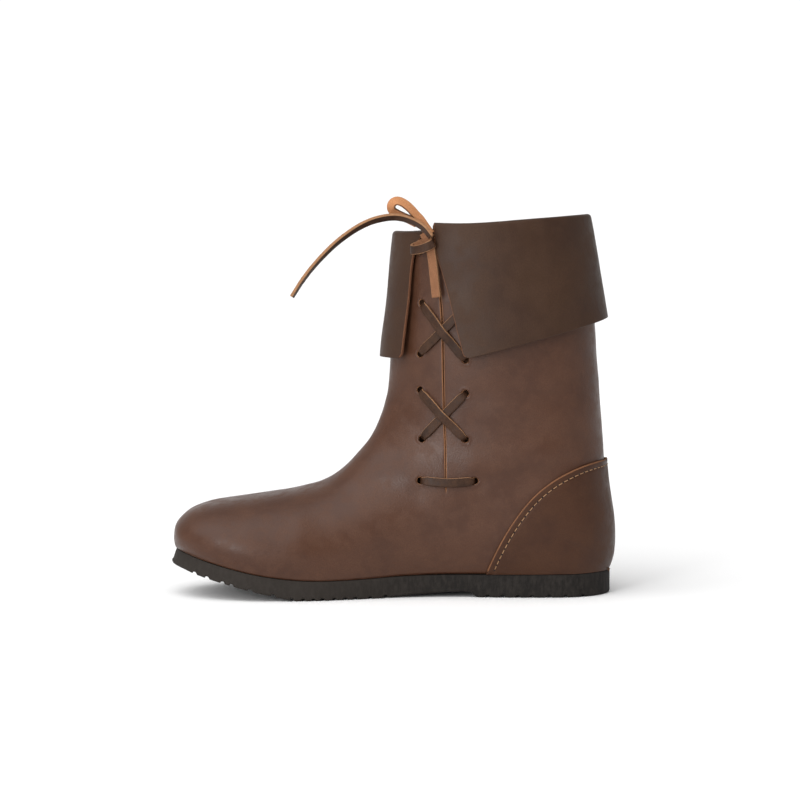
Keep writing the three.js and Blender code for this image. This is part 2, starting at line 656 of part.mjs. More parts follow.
const shortEndPoints = [
  { x: 20.4, y: -41, z: 232 },
  { x: 22.5, y: -42, z: 227.9 },
  { x: 24.3, y: -42.3, z: 223.3 },
  { x: 25.2, y: -42.4, z: 218.9 },
  { x: 26.1, y: -42.7, z: 212.6 },
  { x: 26.8, y: -43, z: 205.7 },
  { x: 27.6, y: -43.4, z: 198.2 },
  { x: 28.3, y: -43.8, z: 191.6 },
];
const longEndPoints = [
  { x: 25, y: -48.2, z: 229.6 },
  { x: 21.1, y: -47.6, z: 234.5 },
  { x: 17.4, y: -46.2, z: 237.3 },
  { x: 13, y: -44.6, z: 239.5 },
  { x: 8, y: -43, z: 241.2 },
  { x: 3, y: -42, z: 242 },
  { x: -2.1, y: -42, z: 241.8 },
  { x: -7.1, y: -42, z: 240.9 },
  { x: -12.1, y: -42, z: 239.5 },
  { x: -17.1, y: -42.2, z: 237.4 },
  { x: -22.1, y: -42.5, z: 234.7 },
  { x: -27.1, y: -43, z: 231.4 },
  { x: -32.2, y: -43.5, z: 227.6 },
  { x: -37.2, y: -44, z: 223.3 },
  { x: -42.2, y: -44.5, z: 218.4 },
  { x: -47.2, y: -45, z: 213 },
  { x: -52.2, y: -45.5, z: 207 },
  { x: -57.2, y: -46, z: 200.1 },
  { x: -62.3, y: -46.5, z: 192 },
];
const loopPoints = [
  { x: 20.9, y: -39.7, z: 236.6 },
  { x: 18.2, y: -39.5, z: 240.5 },
  { x: 15.3, y: -39.5, z: 243.5 },
  { x: 12.6, y: -39.9, z: 246.6 },
  { x: 9.6, y: -40.5, z: 249.4 },
  { x: 6.4, y: -40.9, z: 251.4 },
  { x: 3.5, y: -40.7, z: 252.1 },
  { x: 1.1, y: -39.9, z: 251 },
  { x: 0, y: -38.7, z: 248.8 },
  { x: 0.4, y: -37.5, z: 246.4 },
  { x: 2.3, y: -36.5, z: 244.7 },
  { x: 5.7, y: -35.9, z: 242.9 },
  { x: 10.9, y: -35.5, z: 240.5 },
  { x: 16.2, y: -35.7, z: 237.8 },
];
const knotPoints = [
  { x: 26.5, y: -46.4, z: 226.1 },
  { x: 23, y: -46.8, z: 223.9 },
  { x: 18.6, y: -45, z: 222.1 },
  { x: 14.9, y: -41.8, z: 221.3 },
  { x: 12.9, y: -38.4, z: 221.5 },
  { x: 14, y: -35.8, z: 222.6 },
  { x: 17.7, y: -36.2, z: 224.3 },
  { x: 22.1, y: -38.2, z: 226.7 },
];

const boot = new THREE.Group();

function addMesh(name, geometry, color, roughness) {
  const mesh = new THREE.Mesh(geometry, new THREE.MeshStandardMaterial({ color, roughness, metalness: 0 }));
  mesh.name = name;
  boot.add(mesh);
}

const thong = "#6d4f3c";
addMesh("outsole", outsole(), "#37312d", 0.8);
addMesh("insole", insole(), "#a07c58", 0.8);
addMesh("upper", upper(), "#5b4338", 0.5);
addMesh("counter", counter(), "#52382b", 0.5);
addMesh("cuff", cuff(), "#54423a", 0.5);
addMesh("lace_bar", bar(holeRows[0]), thong, 0.6);
addMesh("lace_cross_low", cross(holeRows[1], holeRows[2]), thong, 0.6);
addMesh("lace_cross_high", cross(holeRows[3], holeRows[4]), thong, 0.6);
addMesh("lace_knot", freeRun(knotPoints, [0, -0.15, 0.99], [0, 0, 1]), thong, 0.6);
addMesh("lace_loop", freeRun(loopPoints, [0.4, 0.75, 0.5], [0.4, 0.75, 0.5]), thong, 0.6);
addMesh("lace_long_end", freeRun(longEndPoints, [0, -0.94, 0.34], [0, -0.94, 0.34]), thong, 0.6);
addMesh("lace_short_end", freeRun(shortEndPoints, [0.8, -0.6, 0], [0.8, -0.6, 0]), thong, 0.6);

// The origin goes under the middle of the boot, measured without the lace's free runs.
const freeNames = ["lace_knot", "lace_loop", "lace_long_end", "lace_short_end"];
const extent = new THREE.Box3();
for (const mesh of boot.children) {
  if (!freeNames.includes(mesh.name)) extent.expandByObject(mesh);
}
const middle = extent.getCenter(new THREE.Vector3());
boot.position.set(-middle.x, -middle.y, -extent.min.z);

export default boot;
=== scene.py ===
import math

import bmesh
import bpy
import numpy as np
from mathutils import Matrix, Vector


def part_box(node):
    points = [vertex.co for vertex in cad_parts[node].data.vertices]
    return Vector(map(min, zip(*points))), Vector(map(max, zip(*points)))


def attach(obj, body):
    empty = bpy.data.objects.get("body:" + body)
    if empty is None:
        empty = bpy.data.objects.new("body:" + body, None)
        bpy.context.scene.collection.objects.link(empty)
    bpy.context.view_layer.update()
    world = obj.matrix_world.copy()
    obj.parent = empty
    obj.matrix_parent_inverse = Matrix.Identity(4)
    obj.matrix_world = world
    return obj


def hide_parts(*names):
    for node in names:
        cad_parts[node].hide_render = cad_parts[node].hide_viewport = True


# A short laced boot for the right foot. Lengths below are in millimetres unless a line says otherwise.
# The toe points along -X, the laced inner side faces -Y and +Z is up.
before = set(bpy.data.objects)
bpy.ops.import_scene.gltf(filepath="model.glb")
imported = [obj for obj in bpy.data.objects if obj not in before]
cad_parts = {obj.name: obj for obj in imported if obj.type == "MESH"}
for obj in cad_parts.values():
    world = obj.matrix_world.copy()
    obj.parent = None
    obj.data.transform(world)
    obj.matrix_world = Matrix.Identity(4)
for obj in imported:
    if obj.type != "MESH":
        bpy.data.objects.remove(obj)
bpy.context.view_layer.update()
scene = bpy.context.scene
mm = 0.001

# Tables of the last, as in the solids: rows run from the toe to the heel or up the leg

leather = 2.0
seam = 0.3
soleToe, soleHeel = -138.2, 140.9
toeRound, heelRound, toeBlunt = 58.0, 34.0, 2.15
heelRow, collarRow, lastRow = 17, 24, 25

planRows = {
    "x": [-138, -105, -80, -52, -25, 5, 40, 80, 106, 140],
    "middle": [-6, -4, -1.5, 1, 3.5, 4.5, 3.5, 1, 0.5, 0],
    "half": [46.5, 48, 50.5, 51, 46.5, 38.5, 34.5, 34.8, 34, 33],
}
sideRows = {
    "x": [-138.2, -130, -122, -105, -87, -72, -58, -36, -12, 4, 20, 48, 56, 90, 140.9],
    "top": [29.5, 27.7, 25.4, 21, 16.9, 14.4, 12.9, 12.3, 12.9, 13.7, 14.2, 14.5, 14.5, 14.6, 15],
    "bottom": [20, 18.2, 15.7, 11, 6.2, 2.6, 0, 0, 0, 1.1, 2.1, 3.6, 0, 0, 0],
    "lean": [3, 3, 2.8, 2.2, 1.4, 0.7, 0, 0, 0, 0, 0, 0, 0, 0, 0],
}
insetRows = {"x": [-138, 20, 75, 140], "inset": [0.5, 0.8, 2.4, 2.4]}
sectionRows = {
    "ridgeX": [-137.7, -139.2, -139.5, -138.2, -134.2, -127.8, -116.5, -101, -81, -59, -41.5, -28.5, -18.3,
               -10.8, -6.2, -3.9, -2.5, -1.8, -1.3, -0.9, -0.5, 0.2, 1.1, 2.2, 3.3, 4.1],
    "ridgeZ": [29.8, 33.4, 38.6, 45.2, 50.4, 55, 58.8, 61.4, 64.1, 67.7, 73.8, 82.6, 94,
               105.3, 116, 123.8, 129.3, 134, 139, 145.5, 154, 167, 186, 207, 227.3, 242],
    "ridgeY": [-6, -5.9, -5.8, -5.6, -5.4, -5, -4.4, -3.5, -2.4, -1.6, -1.5, -1.8, -1.8,
               -1.5, -1, -0.5, -0.2, 0, 0, 0, 0, 0, 0, 0, 0, 0],
    "endX": [-137.7, -137, -134.8, -131, -125.5, -117.5, -107, -94, -78, -56, -30, 0, 32,
             62, 86, 106, 126, 138.5, 141.9, 141.8, 137.8, 135.4, 132.3, 128.8, 125.4, 122.6],
    "endZ": [0] * 17 + [15.3, 27, 47, 76, 108, 148, 194, 237.3, 272],
    "inner": [0, 14, 20.5, 27.5, 34, 40, 45.6, 49.8, 52.2, 52.6, 49, 44.5, 41.3,
              40, 39.6, 39.6, 39.7, 39.8, 39.9, 40.3, 41.2, 42.6, 44.2, 45.6, 46.5, 46.8],
    "outer": [0, 14, 20.5, 27.5, 34, 39.5, 45.1, 49.3, 52.4, 54, 52.5, 48.5, 44,
              42, 41, 40.2, 39.8, 39.8, 39.9, 40.3, 41.2, 42.6, 44.2, 45.6, 46.5, 46.8],
    "round": [0.9, 0.9, 0.88, 0.86, 0.84, 0.83, 0.83, 0.85, 0.88, 0.93, 1, 1.06, 1.08,
              1.06, 1.02, 0.98, 0.95, 0.94, 0.93, 0.93, 0.93, 0.94, 0.95, 0.96, 0.97, 0.97],
    "tail": [2.2] * 12 + [2.25, 2.4, 2.6, 2.9, 3.2, 3.4, 3.4, 3.2, 2.9, 2.6, 2.35, 2.2, 2.15, 2.15],
}
slitRows = {"z": [67, 95.6, 127, 186, 206, 250], "x": [34.6, 34.1, 33.1, 31.4, 29.2, 26.4]}
# lace holes in pairs from the bar up: in front of the slit, then behind it
holeRows = [
    ((18.3, 75.4), (52.7, 75.4)),
    ((19.4, 101.4), (46.6, 101.6)),
    ((17.9, 132), (46.6, 130.7)),
    ((17.9, 155.1), (46.6, 152)),
    ((19.2, 187.6), (47.4, 185.6)),
    ((17.6, 220), (40.5, 220)),
]


def hermite(a, b, slopeA, slopeB, t):
    t2, t3 = t * t, t * t * t
    return a * (2 * t3 - 3 * t2 + 1) + b * (3 * t2 - 2 * t3) + slopeA * (t3 - 2 * t2 + t) + slopeB * (t3 - t2)


def along(rows, key, at, by="x"):
    places, values = np.array(rows[by], float), np.array(rows[key], float)
    step = np.diff(values) / np.diff(places)
    inner = np.where(step[:-1] * step[1:] > 0, (step[:-1] + step[1:]) / 2, 0)
    slopes = np.concatenate([step[:1], inner, step[-1:]])
    at = np.asarray(at, float)
    i = np.clip(np.searchsorted(places, at, side="right") - 1, 0, len(places) - 2)
    width = places[i + 1] - places[i]
    t = np.clip((at - places[i]) / width, 0, 1)
    return hermite(values[i], values[i + 1], slopes[i] * width, slopes[i + 1] * width, t)


def byRow(key, s, first=0, last=lastRow):
    values = np.array(sectionRows[key], float)
    s = np.asarray(s, float)
    i = np.clip(np.floor(s).astype(int), 0, last - 1)
    pick = lambda k: values[np.clip(k, first, last)]
    return hermite(pick(i), pick(i + 1), (pick(i + 1) - pick(i - 1)) / 2, (pick(i + 2) - pick(i)) / 2, s - i)


def plan(x, inset):
    straight = along(planRows, "half", x) - inset
    toe = np.clip((soleToe + toeRound - x) / (toeRound - inset), 0, 1)
    heel = np.clip((x - soleHeel + heelRound) / (heelRound - inset), 0, 1)
    half = straight * (1 - toe**toeBlunt) ** (1 / toeBlunt) * np.sqrt(1 - heel**2)
    return along(planRows, "middle", x), half


def bedZ(x):
    return along(sideRows, "top", x)


def smooth(low, high, value):
    t = np.clip((np.asarray(value, float) - low) / (high - low), 0, 1)
    return t * t * (3 - 2 * t)


# s runs from the toe up to the collar; turn is 0 on the ridge, -1 and 1 at the inner and outer end
def skinPoint(s, turn):
    s, turn = np.broadcast_arrays(np.asarray(s, float), np.asarray(turn, float))
    side = np.where(turn < 0, -1.0, 1.0)
    onBed = s < heelRow
    low, high = np.minimum(s, heelRow - 1e-9), np.maximum(s, heelRow)
    endX = np.where(onBed, byRow("endX", low, 0, heelRow), byRow("endX", high, heelRow))
    endZ = np.where(onBed, bedZ(endX) + seam, byRow("endZ", high, heelRow))
    middle, half = plan(endX, along(insetRows, "inset", endX))
    middle, half = np.where(onBed, middle, 0), np.where(onBed, half, 0)
    reach = np.maximum(np.where(side < 0, byRow("inner", s), byRow("outer", s)), half * 1.012)
    rounding, tail = byRow("round", s), byRow("tail", s)
    share = np.clip(1 - (half / np.maximum(reach, 1e-9)) ** 2, 0, 1)
    last = np.where(reach > 1e-6, math.pi - np.arccos(share ** (1 / tail)), math.pi)
    angle = last * np.abs(turn)
    t = (1 - np.cos(angle)) / (1 - np.cos(last))
    towardsRidge = np.clip(np.sin(angle), 0, None) ** rounding
    towardsEnd = np.sqrt(np.clip(1 - np.abs(np.cos(angle)) ** tail, 0, None))
    out = reach * np.where(angle < math.pi / 2, towardsRidge, towardsEnd)
    ridgeX, ridgeY, ridgeZ = byRow("ridgeX", s), byRow("ridgeY", s), byRow("ridgeZ", s)
    return np.stack([
        ridgeX + (endX - ridgeX) * t,
        ridgeY + (middle - ridgeY) * t + side * out,
        ridgeZ + (endZ - ridgeZ) * t,
    ], -1)


def unit(v):
    return v / np.maximum(np.linalg.norm(v, axis=-1, keepdims=True), 1e-12)


# the way out of the skin, over a wider step at the heel row, where the sections change
def skinOut(s, turn):
    nearHeel = np.exp(-(((np.asarray(s, float) - heelRow) / 0.5) ** 2))
    stepS, stepT = 0.02 + 0.28 * nearHeel, 0.004
    above, below = np.minimum(s + stepS, lastRow - 0.1), np.maximum(s - stepS, 0.0)
    alongS = skinPoint(above, turn) - skinPoint(below, turn)
    alongT = skinPoint(s, np.minimum(turn + stepT, 1)) - skinPoint(s, np.maximum(turn - stepT, -1))
    return unit(np.cross(alongS, alongT))


# the skin with the sections next to the heel row eased into each other
def softSkin(s, turn):
    nearHeel = np.exp(-(((s - heelRow) / 0.9) ** 2))
    reach = 0.7 * nearHeel * (1 - np.abs(turn) ** 10) * smooth(0.66, 0.82, np.abs(turn))
    steps = ((-1, 0.12), (-0.5, 0.24), (0, 0.28), (0.5, 0.24), (1, 0.12))
    rowAt = lambda step: np.clip(s + step * reach, 0, lastRow - 0.01)
    return sum(weight * skinPoint(rowAt(step), turn) for step, weight in steps)


# s and turn of the place on the skin seen square to the side over x and z
def placeAt(x, z, side=-1):
    x, z = np.broadcast_arrays(np.asarray(x, float), np.asarray(z, float))
    low, high = np.zeros(x.shape), np.full(x.shape, float(lastRow))
    for _ in range(40):
        s = (low + high) / 2
        ridge = skinPoint(s, 0.0)
        run = skinPoint(s, side * 1.0) - ridge
        ahead = run[..., 0] * (z - ridge[..., 2]) - run[..., 2] * (x - ridge[..., 0])
        low, high = np.where(ahead > 0, s, low), np.where(ahead > 0, high, s)
    run = skinPoint(low, side * 1.0) - skinPoint(low, 0.0)
    left, right = np.zeros(x.shape), np.ones(x.shape)
    for _ in range(30):
        turn = (left + right) / 2
        at = skinPoint(low, side * turn)
        gone = (at[..., 0] - x) * run[..., 0] + (at[..., 2] - z) * run[..., 2]
        left, right = np.where(gone < 0, turn, left), np.where(gone < 0, right, turn)
    return low, side * left


# the frame's origin is not the tables' origin: both agree at the back and the outer side of the sole
soleX = np.linspace(soleToe, soleHeel, 2000)
soleMiddle, soleHalf = plan(soleX, 0)
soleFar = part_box("outsole")[1]
shift = np.array([soleFar.x / mm - soleHeel, soleFar.y / mm - (soleMiddle + soleHalf).max(), 0])


def toFrame(points):
    return (np.asarray(points, float) + shift) * mm


# Camera

view = {"target": (5.47, 0, 123.65), "distance": 2000, "elevation": 4.4, "lens": 139.82, "sensor": 36}


def makeCamera():
    data = bpy.data.cameras.new("camera")
    data.lens, data.sensor_width = view["lens"], view["sensor"]
    camera = bpy.data.objects.new("camera", data)
    scene.collection.objects.link(camera)
    rise = math.radians(view["elevation"])
    back = Vector((0, -math.cos(rise), math.sin(rise)))
    camera.location = Vector(toFrame(view["target"])) + back * view["distance"] * mm
    camera.rotation_euler = (-back).to_track_quat("-Z", "Y").to_euler()
    data.clip_start, data.clip_end = 0.05, 60
    scene.camera = camera


makeCamera()

# Cords: the free runs of the thong at the collar

thong = {"width": 5.6, "thick": 2.0, "corner": 0.5}
knotPath = [(26.5, -46.4, 226.1), (23, -46.8, 223.9), (18.6, -45, 222.1), (14.9, -41.8, 221.3),
            (12.9, -38.4, 221.5), (14, -35.8, 222.6), (17.7, -36.2, 224.3), (22.1, -38.2, 226.7)]
loopPath = [(24.6, -41.2, 231.4), (20.9, -39.7, 236.6), (18.2, -39.5, 240.5), (15.3, -39.5, 243.5),
            (12.6, -39.9, 246.6), (9.6, -40.5, 249.4), (6.4, -40.9, 251.4), (3.5, -40.7, 252.1),
            (1.1, -39.9, 251), (0, -38.7, 248.8), (0.4, -37.5, 246.4), (2.3, -36.5, 244.7),
            (5.7, -35.9, 242.9), (10.9, -35.5, 240.5), (16.2, -35.7, 237.8)]
longPath = [(25, -48.2, 229.6), (21.1, -47.6, 234.5), (17.4, -46.2, 237.3), (13, -44.6, 239.5),
            (8, -43, 241.2), (3, -42, 242), (-2.1, -42, 241.8), (-7.1, -42, 240.9), (-12.1, -42, 239.5),
            (-17.1, -42.2, 237.4), (-22.1, -42.5, 234.7), (-27.1, -43, 231.4), (-32.2, -43.5, 227.6),
            (-37.2, -44, 223.3), (-42.2, -44.5, 218.4), (-47.2, -45, 213), (-52.2, -45.5, 207),
            (-57.2, -46, 200.1), (-62.3, -46.5, 192)]
shortPath = [(20.4, -41, 232), (22.5, -42, 227.9), (24.3, -42.3, 223.3), (25.2, -42.4, 218.9),
             (26.1, -42.7, 212.6), (26.8, -43, 205.7), (27.6, -43.4, 198.2), (28.3, -43.8, 191.6)]


def addMesh(name, points, faces, materials, slots=None):
    mesh = bpy.data.meshes.new(name)
    mesh.from_pydata(toFrame(points).tolist(), [], [tuple(face) for face in faces])
    for material in materials:
        mesh.materials.append(material)
    if slots is not None:
        mesh.polygons.foreach_set("material_index", np.asarray(slots, np.int32))
    mesh.shade_smooth()
    mesh.update()
    piece = bpy.data.objects.new(name, mesh)
    scene.collection.objects.link(piece)
    return piece


# a smooth curve through points, at even spacing
def smoothPath(points, spacing):
    points = np.asarray(points, float)
    padded = np.vstack([2 * points[0] - points[1], points, 2 * points[-1] - points[-2]])
    fine = []
    for i in range(1, len(points)):
        t = np.linspace(0, 1, 24, endpoint=False)[:, None]
        a, b = padded[i], padded[i + 1]
        fine.append(hermite(a, b, (b - padded[i - 1]) / 2, (padded[i + 2] - a) / 2, t))
    fine = np.vstack(fine + [points[-1:]])
    gone = np.concatenate([[0], np.cumsum(np.linalg.norm(np.diff(fine, axis=0), axis=1))])
    count = max(int(round(gone[-1] / spacing)), 4)
    even = np.linspace(0, gone[-1], count + 1)
    return np.stack([np.interp(even, gone, fine[:, k]) for k in range(3)], -1)


# outline of the flat thong: grain on top, flesh below, cut edges between
def thongSection(width, thick, corner):
    corner = min(corner, thick * 0.48, width * 0.3)
    halfWide, halfThick = width / 2 - corner, thick / 2 - corner
    # each corner: its two sides, its first angle and the number of points on the straight after it
    corners = [(1, 1, 0, 3), (-1, 1, 90, 1), (-1, -1, 180, 3), (1, -1, 270, 1)]
    outline = []
    for k, (sideW, sideT, start, steps) in enumerate(corners):
        for step in range(4):
            turn = math.radians(start + 30 * step)
            across, up = corner * math.cos(turn), corner * math.sin(turn)
            outline.append((sideW * halfWide + across, sideT * halfThick + up))
        nextW, nextT = corners[(k + 1) % 4][:2]
        last = outline[-1]
        first = (nextW * halfWide + across, nextT * halfThick + up)
        for step in range(1, steps + 1):
            outline.append(tuple(a + (b - a) * step / (steps + 1) for a, b in zip(last, first)))
    return np.array(outline).T


# shadedSide is the side of the run whose cut edge gets the dark grain finish as painted shade: -1 is the
# lower one, 0 is neither
def ribbon(name, centres, across, out, widths, thicks, materials, shadedSide=0):
    rows = []
    for centre, wide, up, width, thick in zip(centres, across, out, widths, thicks):
        sideways, upwards = thongSection(width, thick, thong["corner"])
        rows.append(centre + sideways[:, None] * wide + upwards[:, None] * up)
    points = np.array(rows)
    count, ring = points.shape[:2]
    faces, slots = [], []
    sideways, upwards = thongSection(thong["width"], thong["thick"], thong["corner"])
    face = thong["thick"] / 2 - 0.12  # beyond this height a face is grain or flesh, and not edge
    for i in range(count - 1):
        for j in range(ring):
            k = (j + 1) % ring
            faces.append((i * ring + j, i * ring + k, (i + 1) * ring + k, (i + 1) * ring + j))
            height = (upwards[j] + upwards[k]) / 2
            # grain faces, and on the shaded side the cut edge too, which is painted shade
            grainOrShadedEdge = height > face or sideways[j] * shadedSide > 0 and height > -face
            slots.append(0 if grainOrShadedEdge else 2 if height < -face else 1)
    faces.append(tuple(range(ring - 1, -1, -1)))
    faces.append(tuple(range((count - 1) * ring, count * ring)))
    slots += [1, 1]
    return addMesh(name, points.reshape(-1, 3), faces, materials, slots)


def pathFrames(centres, wide):
    run = unit(np.gradient(centres, axis=0))
    wide = unit(wide - (wide * run).sum(-1, keepdims=True) * run)
    return wide, np.cross(run, wide)


# flip turns the flesh side over; faceOn turns the run's width towards the picture plane
def freeRun(name, path, widthFrom, widthTo, materials, flip=1.0, faceOn=0.0):
    centres = smoothPath(path, 0.9)
    t = np.linspace(0, 1, len(centres))[:, None]
    level = np.cross(unit(np.gradient(centres, axis=0)), [0, -1.0, 0])
    wide = np.array(widthFrom) * (1 - t) + np.array(widthTo) * t
    wide, out = pathFrames(centres, wide * (1 - faceOn) + level * faceOn)
    ones = np.ones(len(centres))
    widths, thicks = thong["width"] * ones, thong["thick"] * ones
    return ribbon(name, centres, wide * flip, out * flip, widths, thicks, materials), centres


# Materials


def colour(code):
    parts = [int(code[k:k + 2], 16) / 255 for k in (1, 3, 5)]
    return tuple(c / 12.92 if c <= 0.04045 else ((c + 0.055) / 1.055) ** 2.4 for c in parts) + (1.0,)


def addNode(tree, kind, inputs=None, **settings):
    node = tree.nodes.new(kind)
    for name, value in settings.items():
        setattr(node, name, value)
    for name, value in (inputs or {}).items():
        if isinstance(value, bpy.types.NodeSocket):
            tree.links.new(value, node.inputs[name])
        else:
            node.inputs[name].default_value = value
    return node


def newMaterial(name, inputs):
    material = bpy.data.materials.new(name)
    material.use_nodes = True
    shader = material.node_tree.nodes["Principled BSDF"]
    for key, value in inputs.items():
        shader.inputs[key].default_value = value
    return material, material.node_tree, shader


def mixColour(tree, share, a, b, blend="MIX"):
    node = addNode(tree, "ShaderNodeMix", data_type="RGBA", blend_type=blend)
    for index, value in ((0, share), (6, a), (7, b)):
        if isinstance(value, bpy.types.NodeSocket):
            tree.links.new(value, node.inputs[index])
        else:
            node.inputs[index].default_value = value
    return node.outputs[2]


def spread(tree, value, low, high, newLow=0.0, newHigh=1.0):
    return addNode(tree, "ShaderNodeMapRange", {
        "Value": value, "From Min": low, "From Max": high, "To Min": newLow, "To Max": newHigh,
    }, interpolation_type="SMOOTHSTEP").outputs["Result"]


def noise(tree, place, size, detail=3.0, rough=0.5):
    return addNode(tree, "ShaderNodeTexNoise", {
        "Vector": place, "Scale": 1000.0 / size, "Detail": detail, "Roughness": rough,
    }).outputs["Fac"]


# Oiled full-grain leather: brown with a reddish cast, cloudy in tone, with a fine even grain and a soft
# sheen. cloud and grain are sizes in mm; the grain is about three times a real hide's, so that it shows.
def oiledLeather(name, base, dark, light, cloud=30.0, grain=0.85, gloss=0.42, shine=0.27):
    material, tree, shader = newMaterial(name, {"Specular IOR Level": shine})
    place = addNode(tree, "ShaderNodeTexCoord").outputs["Object"]
    clouds = spread(tree, noise(tree, place, cloud, 3, 0.55), 0.36, 0.64)
    patches = spread(tree, noise(tree, place, cloud * 0.28, 4, 0.6), 0.38, 0.66)
    specks = noise(tree, place, 0.7, 2, 0.6)
    tone = mixColour(tree, clouds, colour(dark), colour(base))
    tone = mixColour(tree, spread(tree, patches, 0, 1, 0, 0.4), tone, colour(light))
    tone = mixColour(tree, spread(tree, specks, 0.3, 0.7, 0.0, 0.6), tone, colour(dark))
    tree.links.new(tone, shader.inputs["Base Color"])
    tree.links.new(spread(tree, patches, 0, 1, gloss - 0.05, gloss + 0.07), shader.inputs["Roughness"])
    cells = addNode(tree, "ShaderNodeTexVoronoi", {"Vector": place, "Scale": 1000 / grain},
                    feature="SMOOTH_F1")
    wrinkles = noise(tree, place, 2.6, 4, 0.6)
    fine = addNode(tree, "ShaderNodeBump", {
        "Strength": 0.5, "Distance": 0.00014, "Height": cells.outputs["Distance"],
    })
    soft = addNode(tree, "ShaderNodeBump", {
        "Strength": 0.3, "Distance": 0.00025, "Height": wrinkles, "Normal": fine.outputs["Normal"],
    })
    tree.links.new(soft.outputs["Normal"], shader.inputs["Normal"])
    return material


# Raw fibrous leather: a cut edge or the flesh side, matt and tan
def rawLeather(name, base, dark, grain=0.5, rough=0.85):
    material, tree, shader = newMaterial(name, {"Roughness": rough, "Specular IOR Level": 0.2})
    place = addNode(tree, "ShaderNodeTexCoord").outputs["Object"]
    fibres = noise(tree, place, grain, 5, 0.7)
    broad = noise(tree, place, 7, 3, 0.5)
    tone = mixColour(tree, spread(tree, fibres, 0.3, 0.7), colour(dark), colour(base))
    tone = mixColour(tree, spread(tree, broad, 0.4, 0.7, 0, 0.35), tone, colour(dark))
    tree.links.new(tone, shader.inputs["Base Color"])
    bump = addNode(tree, "ShaderNodeBump", {"Strength": 0.5, "Distance": 0.0002, "Height": fibres})
    tree.links.new(bump.outputs["Normal"], shader.inputs["Normal"])
    return material


# Moulded dark rubber: charcoal brown with a fine dusty speckle, and a painted shade that darkens it to nearly
# black at the heel
def mouldedRubber(name, fore, heel, light):
    material, tree, shader = newMaterial(name, {"Roughness": 0.8, "Specular IOR Level": 0.22})
    place = addNode(tree, "ShaderNodeTexCoord").outputs["Object"]
    upright = addNode(tree, "ShaderNodeMapping", {"Vector": place, "Scale": (1.0, 1.0, 0.35)})
    dust = noise(tree, upright.outputs["Vector"], 2.2, 4, 0.65)
    specks = noise(tree, place, 0.6, 2, 0.6)
    # painted shade: along X the tone goes from the fore colour to the darker heel colour
    heelShadeAxis = addNode(tree, "ShaderNodeSeparateXYZ", {"Vector": place}).outputs["X"]
    base = mixColour(tree, spread(tree, heelShadeAxis, -0.05, 0.05), colour(fore), colour(heel))
    tone = mixColour(tree, spread(tree, dust, 0.35, 0.72, 0, 0.5), base, colour(light))
    tone = mixColour(tree, spread(tree, specks, 0.55, 0.75, 0, 0.35), tone, colour(light))
    tree.links.new(tone, shader.inputs["Base Color"])
    bump = addNode(tree, "ShaderNodeBump", {"Strength": 0.35, "Distance": 0.0002, "Height": specks})
    tree.links.new(bump.outputs["Normal"], shader.inputs["Normal"])
    return material


upperSkin = oiledLeather("upperLeather", "#4b2f20", "#42281b", "#543727")
counterSkin = oiledLeather("counterLeather", "#412615", "#392012", "#492e1d", gloss=0.47, shine=0.22)
cuffSkin = oiledLeather("cuffLeather", "#3b2719", "#342116", "#432e20", cloud=45, gloss=0.52, shine=0.2)
thongSkin = oiledLeather("thongLeather", "#3c2618", "#2d1c12", "#4c3424", cloud=14, gloss=0.5, shine=0.18)
cutEdge = rawLeather("cutEdge", "#9b6c4a", "#6f4c35")
# painted shade: the cuff's cut edge is darker than the upper's cut edge, for the shaded front flap edge
shadedCuffEdge = rawLeather("shadedCuffEdge", "#7b5139", "#563827")
counterEdge = rawLeather("counterEdge", "#855a3d", "#5c3e2b")
fleshSide = rawLeather("fleshSide", "#6d4f3b", "#563c2c")
thongEdge = rawLeather("thongEdge", "#a57c5a", "#7f5b40")
thongFlesh = rawLeather("thongFlesh", "#8d6246", "#6e4b34")
# painted light: a lighter copy of the thong's flesh side, for the loop
loopFleshPaintedLight = rawLeather("loopFleshPaintedLight", "#c58b61", "#9e6b46")
footbed = rawLeather("insoleLeather", "#8a6849", "#6f5236")
# the second colour is the painted shade at the heel
rubber = mouldedRubber("soleRubber", "#28231f", "#171412", "#332e2a")
# Waxed linen thread, a pale matt tan, and the painted shade of its needle holes
thread = newMaterial("linenThread", {"Base Color": colour("#94704e"), "Roughness": 0.7})[0]
needleHoleShade = newMaterial("needleHoleShade", {"Base Color": colour("#1d120c"), "Roughness": 0.9})[0]
thongParts = [thongSkin, thongEdge, thongFlesh]

knot = freeRun("thongKnot", knotPath, (0, -0.15, 0.99), (0, 0, 1), thongParts, flip=-1)[0]
# the loop's flesh side uses the lighter copy, which is painted light
loopParts = [thongSkin, thongFlesh, loopFleshPaintedLight]
loop, loopLine = freeRun("thongLoop", loopPath, (0, 1, 0), (0, 1, 0), loopParts, faceOn=0.66)
longEnd, longLine = freeRun("thongLongEnd", longPath, (0, -0.72, 0.7), (0, -0.9, 0.44), thongParts, flip=-1)
shortEnd, shortLine = freeRun("thongShortEnd", shortPath, (0.93, -0.36, 0), (0.93, -0.36, 0), thongParts,
                              flip=-1)

for piece, line, farEnd, lay, node in (
    (loop, loopLine, "knot", "loose", "lace_loop"),
    (longEnd, longLine, "bare", "loose", "lace_long_end"),
    (shortEnd, shortLine, "bare", "hanging", "lace_short_end"),
):
    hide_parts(node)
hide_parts("lace_knot")
print("cords and knot")
